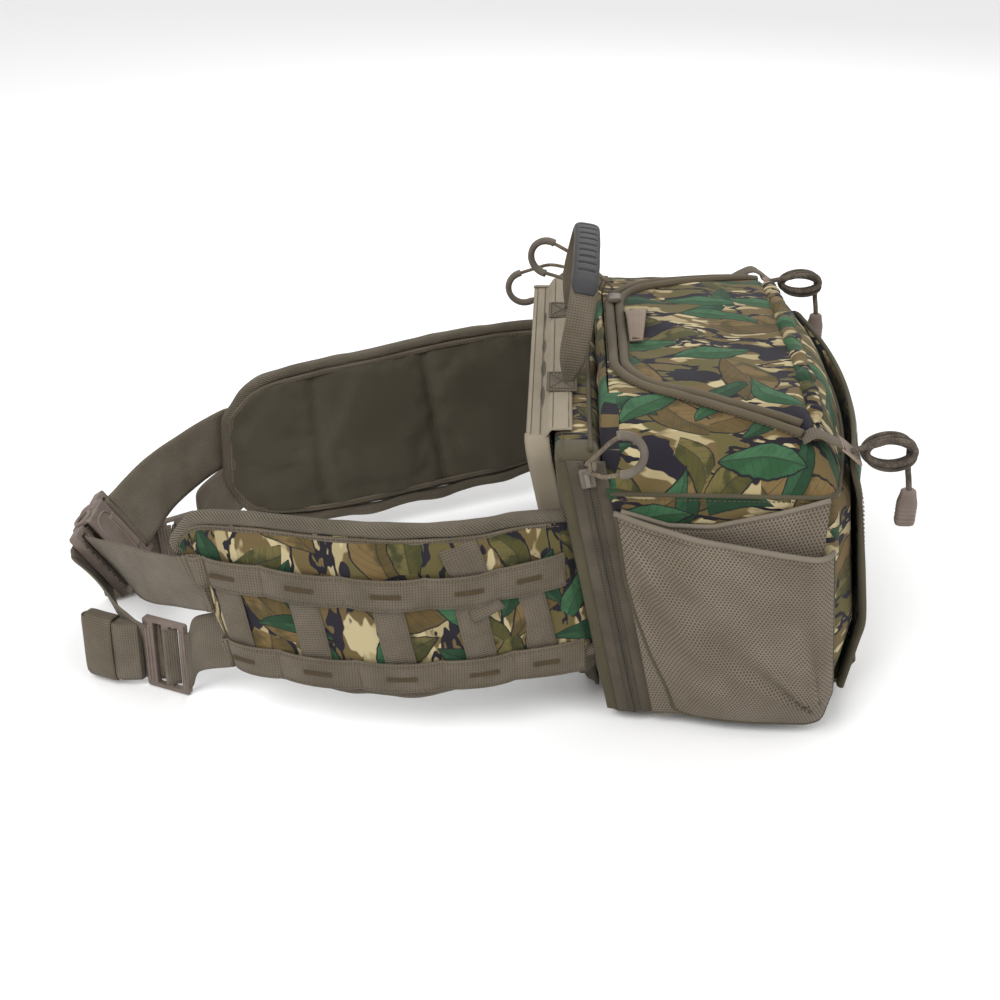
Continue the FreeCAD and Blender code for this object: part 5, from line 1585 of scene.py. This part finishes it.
def belt_straps(name):
    """The belt webbing: wing to buckle bar, back to the ladder lock, and the folded, kept tail."""
    wing, body = WINGS[name], name + "_belt"
    along, across, face = lock_axes(name)
    face = face * SIDES[name]  # the tail's side of the lock
    lock = LOCK[name]
    bar_x, z_mid, z_low = (-13.0, 114.0, 70.0) if name == "left" else (45.0, 100.0, 66.0)
    up = np.array([0, 0, 1.0])
    m5, m6, m7 = wing.marks[6] - 0.04, wing.marks[6], 0.985

    def lean(at):
        return unit(wing.line(wing.high, at) - wing.line(wing.low, at))

    places = ((m5, 6.9), (m6, 7.2), (m7, 8.8))
    root, tip, end = (wing.point(m, wing.up_at(m, z_mid), out) for m, out in places)
    bar = at_buckle([bar_x, 0, 5.5])
    middle = (end + bar) / 2 + [-12, 0, -1]
    leans = [lean(m5), lean(m6), lean(m7), up + ACROSS, ACROSS]
    verts = strap_mesh([root, tip, end, middle, bar], leans, 50.0, 1.8, step=2.5, slack=0.5,
                       columns=15, seed=161)
    build(name + "_belt_strap", *verts, WIDE_WEBBING, body, "webbing", replaces=(name + "_upper_strap",))
    side = 1 if name == "left" else -1
    wrap = [at_buckle([bar_x + side * x, 0, z]) for x, z in ((3.8, 4.0), (5.4, -0.8), (4.0, -5.6))]
    back = at_buckle([bar_x, 0, -7.4])
    turn_in = lock + along * 36 - face * 4 + [0, 0, 10]
    returning = [bar, *wrap, back, (back + turn_in) / 2 + [0, 0, -1.5], turn_in, lock + along * 19.5,
                 lock + along * 5.5 - face * 3.8]
    ups = [ACROSS] * 5 + [up * 0.6 + ACROSS, up + ACROSS * 0.6, across, across]
    verts = strap_mesh(returning, ups, 49.0, 1.8, step=2.0, slack=0.3, columns=15, seed=162)
    build(name + "_belt_return", *verts, WIDE_WEBBING, body, "webbing", replaces=(name + "_return_strap",))
    start = wing.point(m6, wing.up_at(m6, z_low - 2), 0.0)
    low = wing.point(0.995, wing.up_at(0.995, z_low - 12), -1.0)
    lower = [start, low, (low + lock) / 2 + [-4, 0, 1], lock - along * 19.5, lock - along * 14.5 + face * 3.2]
    verts = strap_mesh(lower, [lean(m6), across, across, across, across], 46.0, 1.8, step=2.5, slack=0.4,
                       columns=15, seed=163, shear=True)
    build(name + "_lock_strap", *verts, WIDE_WEBBING, body, "webbing", replaces=(name + "_lower_strap",))
    over = [lock + along * x + face * out
            for x, out in ((5.5, -3.9), (1.5, 0.5), (-1.6, 4.6), (-5.0, 1.0), (-9.0, -2.4))]
    wrap = strap_mesh(over, across, 47.0, 1.7, step=1.2, slack=0.1, columns=11, seed=164)
    build(name + "_lock_wrap", *wrap, WIDE_WEBBING, body, "webbing")
    layers = Parts()
    for k in range(5):
        out = 4.3 + 1.85 * k
        line = [lock + along * x + face * (out * min(1.0, 0.45 + (x - 19) / 26) + 0.4 * math.sin(x / 9.0 + k))
                for x in (20.0, 26.0, 34.0, 44.0, 54.0, 62.0 - 0.7 * k)]
        layers.add(*strap_mesh(line, across, 47.5, 1.7, step=2.0, slack=0.25, columns=13, seed=170 + k))
    t = np.linspace(0.4, 2.6 * 2 * math.pi, 20)
    curl = []
    for a in t:
        radius = 0.9 + 0.3 * a
        curl.append(lock + along * (62.0 + radius * math.cos(a)) + face * (8.0 + radius * math.sin(a)))
    layers.add(*strap_mesh(curl, across, 47.0, 1.5, step=1.6, slack=0.1, columns=11, seed=176))
    layers.build(name + "_belt_tail", WIDE_WEBBING, body, "webbing", replaces=(name + "_tail_stack",))
    ring = [lock + along * 50.0 + across * a + face * (8.0 + b) for a, b in oval(26.0, 6.9, 44, 5.0)]
    keeper = strap_mesh(ring, along, 24.0, 1.4, step=2.0, slack=0.2, closed=True, columns=9, seed=177)
    build(name + "_keeper", *keeper, WEBBING, body, "webbing")
    seams = []
    for at in (m5 + 0.008, m5 + 0.02):
        z = np.linspace(z_mid - 22, z_mid + 22, 16)
        seams.append(threads(wing.point(at, wing.up_at(at, z), 8.0), wing.normal(at), 2.6, 2.1, 0.4))
    merged(*seams).build(name + "_strap_seam", TACK, body, "webbing")


buckle()
for side_name in SIDES:
    belt_straps(side_name)


# Carry handle and its anchors

HANDLE_X, FOOT_Z, GRIP_Z, FOOT_Y, GRIP_HALF = -88.0, 212.6, 287.0, 74.0, 58.0


def handle_line():
    """The handle webbing's centre line, as in the frame, with its up directions."""
    rows = [(-FOOT_Y, FOOT_Z + 3.0, 1.0), (-FOOT_Y + 2, FOOT_Z + 24, 1.0), (-GRIP_HALF - 2, GRIP_Z - 16, 0.8),
            (-GRIP_HALF + 10, GRIP_Z - 5, 0.3), (0.0, GRIP_Z, 0.0)]
    rows += [(-y, z, -t) for y, z, t in reversed(rows[:-1])]
    rows = [(y, z + 0.16 * y * min(1.0, (z - FOOT_Z) / 50), t) for y, z, t in rows]
    points = np.array([(HANDLE_X + 0.17 * (z - FOOT_Z), y, z) for y, z, _ in rows])
    across = np.array([(1, 0, -0.17)] * len(rows), float)
    twist = np.array([0.35, 0.25, 0.1, 0, 0, 0, -0.08, -0.15, -0.2])
    across[:, 1] += twist
    return points, unit(across)


def handle():
    points, across = handle_line()
    widths = [6.0, 19.0, 20.0, 20.0, 20.0, 20.0, 20.0, 19.0, 6.0]
    verts = strap_mesh(points, across, widths, 1.9, step=2.0, slack=0.35, columns=9, seed=181,
                       wave=lambda s, c: 0.5 * np.sin(s / 5.0) * np.cos(c / 4.0))
    build("handle_strap", *verts, WEBBING, "handle", "webbing", replaces=("handle_web",))
    path = smooth_path(np.hstack([points[2:-2], across[2:-2]]), 0.8)
    keep = (path[:, 1] > -51.0) & (path[:, 1] < 59.0)
    path = path[keep]
    line, side = path[:, :3], unit(path[:, 3:])
    tangent = unit(np.gradient(line, axis=0))
    normal = unit(np.cross(tangent, side))
    normal = normal * np.sign(normal[:, 2:3])
    s = lengths(line)
    share = s / s[-1]
    taper = np.clip(np.minimum(share, 1 - share) / 0.10, 0, 1)
    wide = 0.72 + 0.28 * np.sin(taper * math.pi / 2) - 0.05 * np.sin(share * math.pi)
    deep = 0.62 + 0.38 * np.sin(taper * math.pi / 2)
    profile = oval(1.0, 1.0, 36, 3.2)
    slots = np.zeros(len(s))
    for k in range(9):
        centre = s[-1] * (0.18 + 0.08 * k)
        slots = np.maximum(slots, np.exp(-((s - centre) / 0.95) ** 4))
    ring = []
    for k in range(len(s)):
        a = profile[:, 0] * 10.0 * wide[k]
        b = profile[:, 1] * 5.5 * deep[k]
        inside = np.clip((0.72 - np.abs(profile[:, 0])) / 0.12, 0, 1) * (np.abs(profile[:, 1]) > 0.5)
        cut = slots[k] * 1.5 * inside
        b = b - np.sign(b) * cut
        flat = np.where(profile[:, 1] < 0, b * 0.9, b)
        ring.append(line[k] + side[k] * a[:, None] + normal[k] * flat[:, None])
    around = lengths(np.vstack([profile * [10.0, 5.5], profile[:1] * [10.0, 5.5]]))
    uv = np.stack(np.meshgrid(around, s), axis=-1)
    build("handle_rubber", *grid(np.array(ring), uv, wrap_j=True, cap=True), RUBBER, "handle", "grip_rubber",
          replaces=("handle_grip",))
    # Near-black bars at the bottoms of the grip's slots: painted shade standing in for the dark of the slots.
    slot_shade_bars = Parts()
    for k in range(9):
        at = int(np.argmin(np.abs(s - s[-1] * (0.18 + 0.08 * k))))
        reach = np.linspace(-0.62, 0.62, 12)[:, None] * 10.0 * wide[at]
        for face, deep_at in ((1, 4.2), (-1, 3.6)):
            bar = line[at] + side[at] * reach + normal[at] * (face * deep_at * deep[at])
            slot_shade_bars.add(*sweep(bar, oval(0.75, 0.35, 8), normal[at]))
    slot_shade_bars.build("handle_slot_shade", PAINTED_SLOT_SHADE, "handle", "grip_rubber")
    patches, marks = Parts(), []
    for sign in (-1, 1):
        rows = [(HANDLE_X - 4, sign * (FOOT_Y + dy), FOOT_Z + 2.6) for dy in (-18, -6, 6, 16)]
        patches.add(*strap_mesh(rows, (1, 0, 0), 22.0, 1.3, slack=0.15, seed=185))
        corners = ((9, -15), (9, 13), (-9, 13), (-9, -15), (9, -15), (-9, 13), (9, 13), (-9, -15))
        line = np.array([(HANDLE_X - 4 + x, sign * (FOOT_Y + y), FOOT_Z + 3.45) for x, y in corners])
        for a, b in zip(line, line[1:]):
            run = np.linspace(a, b, 8)
            marks.append(threads(run, UP, 2.9, 2.2, 0.36))
    patches.build("handle_anchor_webs", WEBBING, "bag", "webbing", replaces=("handle_patches",))
    merged(*marks).build("handle_anchor_stitch", THREAD, "bag", "webbing")


def lid_tab():
    """The pale pull tab in the back run of the lid's zip."""
    rows = [(-36.5 + 0.03 * y, y, BAG_TOP + 1.6 + h)
            for y, h in ((-22, 1.2), (-10, 4.6), (4, 7.6), (18, 8.0), (32, 5.4), (44, 1.2))]
    widths = np.linspace(10.0, 19.0, 6)
    verts = strap_mesh(rows, (1, 0, 0.1), widths, 1.6, step=2.0, slack=0.3, columns=9, seed=191)
    build("lid_grab_tab", *verts, PALE_WEBBING, "lid", "webbing", replaces=("lid_pull_tab",))
    marks = []
    for y in (-19.0, 41.0):
        line = np.array([(x, y, BAG_TOP + 4.0) for x in np.linspace(-40, -32, 8)])
        marks.append(threads(line, UP, 0.8, 3.0, 0.5, across=True))
    merged(*marks).build("lid_tab_tacks", TACK, "lid", "webbing")
    softened("lid_zip_slider", "lid_slider_body", METAL, "lid", 0.6, 2)


def corner_webs():
    """The corner webbing from the top of the bag to the tabs that carry the shock cords."""
    webs, tabs, rings, marks = Parts(), Parts(), Parts(), []
    for name, sign in SIDES.items():
        hx, hz = HANK[name]
        y, web = TAB_Y * sign, (TAB_Y + 3) * sign
        foot = top_height_at(hx - 58, web)
        rows = [(hx - 58, web, foot + 0.6), (hx - 50, web, max(foot + 1.0, 218.5)), (hx - 40, web, hz + 11.6),
                (hx - 30.5, web, hz + 6.4)]
        webs.add(*strap_mesh(rows, (0, 1, 0), 16.0, 1.6, slack=0.4, seed=195))
        rows = [(hx - 33, y, hz + 7.6), (hx - 26, y, hz + 2.2), (hx - 19, y, hz - 4.0)]
        tabs.add(*strap_mesh(rows, (0, 1, 0), 24.0, 2.4, slack=0.1, seed=196))
        for dy in (-6.0, 6.0):
            t = np.linspace(0, 2 * math.pi, 20, endpoint=False)
            tilt = np.array([0.76, 0, -0.62])
            ring = (np.array([hx - 23.5, y + dy, hz + 0.9]) + np.cos(t)[:, None] * 3.1 * tilt
                    + np.sin(t)[:, None] * 3.1 * np.array([0, 1, 0]))
            rings.add(*tube(ring, 0.8, 8, (0.6, 0, 0.8), closed=True))
        line = np.array([(hx - 31.0, y + d, hz + 6.6) for d in np.linspace(-8, 8, 10)])
        marks.append(threads(line, [0.5, 0, 0.85], 0.8, 3.2, 0.5, across=True))
    webs.build("corner_straps", WEBBING, "bag", "webbing", replaces=("corner_webs",))
    tabs.build("corner_end_tabs", PALE_WEBBING, "bag", "webbing", replaces=("corner_tabs",))
    rings.build("corner_eyelets", METAL, "bag", "slider_metal")
    merged(*marks).build("corner_tacks", TACK, "bag", "webbing")


TAB_Y = 156.0
HANK = {"left": (125.0, 203.0), "right": (110.0, 211.0)}  # x and z of the hank's middle
handle()
lid_tab()
corner_webs()


# Cords

def spline(name, points, radius, material, body, replaces):
    """A round cord on one open NURBS spline through chosen points, in metres."""
    data = bpy.data.curves.new(name, "CURVE")
    data.dimensions = "3D"
    data.bevel_depth, data.bevel_resolution, data.resolution_u = radius * MM, 3, 6
    data.use_fill_caps = True
    line = data.splines.new("NURBS")
    line.points.add(len(points) - 1)
    for point, place in zip(line.points, points):
        point.co = (*(np.asarray(place, float) * MM), 1.0)
    line.order_u, line.use_endpoint_u = 3, True
    data.materials.append(material)
    return add_piece(name, data, body, replaces)


def level_oval(x, y, z, a, b):
    """A level oval of points round (x, y), at height z."""
    return np.column_stack([oval(a, b, 24, 3.6) + [x, y], np.full(24, z)])


def shock_cords():
    """Each corner's shock cord: a hank of about four turns, then a drop to its cord end."""
    for name, sign in SIDES.items():
        hx, hz = HANK[name]
        y = TAB_Y * sign
        points = [(hx - 26.0, y - 7.0, hz + 4.5), (hx - 22.0, y - 7.4, hz + 6.0)]
        turns, per, high = 4, 14, 10.4 if name == "left" else 8.4
        for k in range(turns * per + 6):
            t = 2.2 - 2 * math.pi * k / per
            grow = 0.96 + 0.1 * math.sin(0.4 * k + 0.6)
            shift = 2.3 * math.sin(0.23 * k)
            points.append((hx + 16.8 * grow * math.cos(t), y - 7.0 + 13.8 * k / (turns * per),
                           hz + 0.6 + high * grow * math.sin(t) + shift))
        points += [(hx + 15.0, y + 2.5, hz - 12.0), (hx + 16.3, y + 0.4, hz - 19.0),
                   (hx + 17.2, y, hz - 26.6)]
        cord = spline(name + "_shock_cord", points, 2.0, SHOCK_SOLID, "bag",
                      (name + "_cord_hank", name + "_cord_lead"))
        x, z = hx + 17.3, hz - 26.6
        body = []
        for down, a, b in ((0.0, 3.6, 2.6), (1.2, 5.0, 3.5), (4.0, 5.4, 3.8), (9.0, 6.6, 4.4),
                           (11.0, 6.8, 4.6), (18.0, 6.7, 4.5), (24.0, 6.8, 4.6), (26.2, 6.3, 4.2),
                           (27.0, 5.0, 3.2)):
            body.append(level_oval(x, y, z - down, a, b))
        end = Parts().add(*grid(np.array(body), wrap_j=True, cap=True))
        for down in (13.5, 16.5, 19.5, 22.5):
            end.add(*tube(level_oval(x, y, z - down, 6.6, 4.5), 0.42, 6, UP, closed=True))
        fitting = end.build(name + "_cord_stop", PLASTIC, "bag", "buckle_plastic",
                            replaces=(name + "_cord_end",))


def zip_pull(name, body, root, centre, first, second, bend):
    """A cord looped through the slider and through a bent sleeve, knotted at the slider."""
    side = name.split("_")[0]
    a, b = unit(first), unit(second)
    b = unit(b - a * (a @ b))
    root, centre = np.array(root, float), np.array(centre, float)
    arc = np.linspace(-1.745, 1.745, 25)
    ring = centre + a * (14.0 * np.cos(arc))[:, None] + b * (14.0 * np.sin(arc))[:, None]
    swell = 1 + 0.06 * np.cos(np.linspace(0, 2 * math.pi, 25))
    tube_mesh = tube(ring, 2.9 * swell, 16, np.cross(a, b))
    sleeve = build(name + "_sleeve", *tube_mesh, SLEEVE, body, "sleeve_rubber",
                   replaces=(side + "_pull_sleeve",))
    low, high = ring[0], ring[-1]
    knee_low = (root - b * 2.4 + low) / 2 + bend - b * 1.5
    knee_high = (root + b * 2.4 + high) / 2 + bend + b * 1.5
    inside = [centre + a * (14.0 * math.cos(t)) + b * (14.0 * math.sin(t)) for t in np.linspace(-1.5, 1.5, 9)]
    out, back = root - b * 2.4, root + b * 2.4
    points = [out, (out + knee_low) / 2, knee_low, (knee_low + low) / 2 - a * 0.5, *inside,
              (knee_high + high) / 2 - a * 0.5, knee_high, (back + knee_high) / 2, back]
    cord = spline(name + "_cord", points, 1.5, BRAID_SOLID, body, (side + "_pull_cord",))
    knot = Parts()
    middle = root + (centre - root) * 0.16
    along = unit(centre - root)
    for shift, size in ((-1.6, 3.2), (1.6, 3.0)):
        t = np.linspace(0, 2 * math.pi, 18, endpoint=False)
        loop = (middle + along * shift + b * (np.cos(t) * size)[:, None]
                + np.cross(along, b) * (np.sin(t) * size * 0.85)[:, None]
                + along * (np.sin(t) * 1.1)[:, None])
        knot.add(*tube(loop, 1.5, 10, along, closed=True))
    knot.build(name + "_knot", BRAID, body, "cord_braid")


def solid_braid(name, tone, light, scale):
    """Braid for splines, which carry no UV map: raised cells fixed to the object, with painted shade between
    them.
    """
    s = Surface(name, 0.8, shine=0.2)
    place = s.node("ShaderNodeTexCoord").outputs["Object"]
    raised_cell_distance = s.node("ShaderNodeTexVoronoi", {"Vector": place, "Scale": scale}).outputs["Distance"]
    # The raised cells are pale and the hollows between them take the darker tone: painted shade.
    colour = s.mix(s.step(raised_cell_distance, 0.15, 0.6), light, tone)
    s.colour(s.mix(s.step(s.noise(place, 160.0, 2.0), 0.35, 0.7), colour, tuple(c * 0.6 for c in tone)))
    s.bump(s.math("SUBTRACT", 1.0, raised_cell_distance), 0.0005, 0.9)
    return s.material


BRAID_SOLID = solid_braid("pull_cord_braid", (0.13, 0.10, 0.068), (0.22, 0.18, 0.128), 950.0)
SHOCK_SOLID = solid_braid("shock_cord_braid", (0.08, 0.064, 0.048), (0.135, 0.11, 0.086), 800.0)
shock_cords()
zip_pull("left_zip_pull", "left_zip", (float(rear(200, 22.0)), -192.6, 206.0), (-53.5, -202.0, 220.5),
         (1, 0, 0.1), (-0.1, 0, 1), np.array([0, -4.0, 0]))
zip_pull("right_zip_pull", "right_zip", (float(rear(200, 22.0)), 192.6, 206.0), (-126.0, 197.0, 190.0),
         (-0.92, 0, -0.39), (-0.39, 0, 0.92), np.array([0, 2.0, 5.0]))
zip_pull("lid_zip_pull", "lid", (-53.0, 68.0, 234.9), (-105.0, 104.0, 249.0),
         (-0.85, 0.25, 0.25), (0.25, -0.1, 0.9), np.array([0, 0, 2.0]))
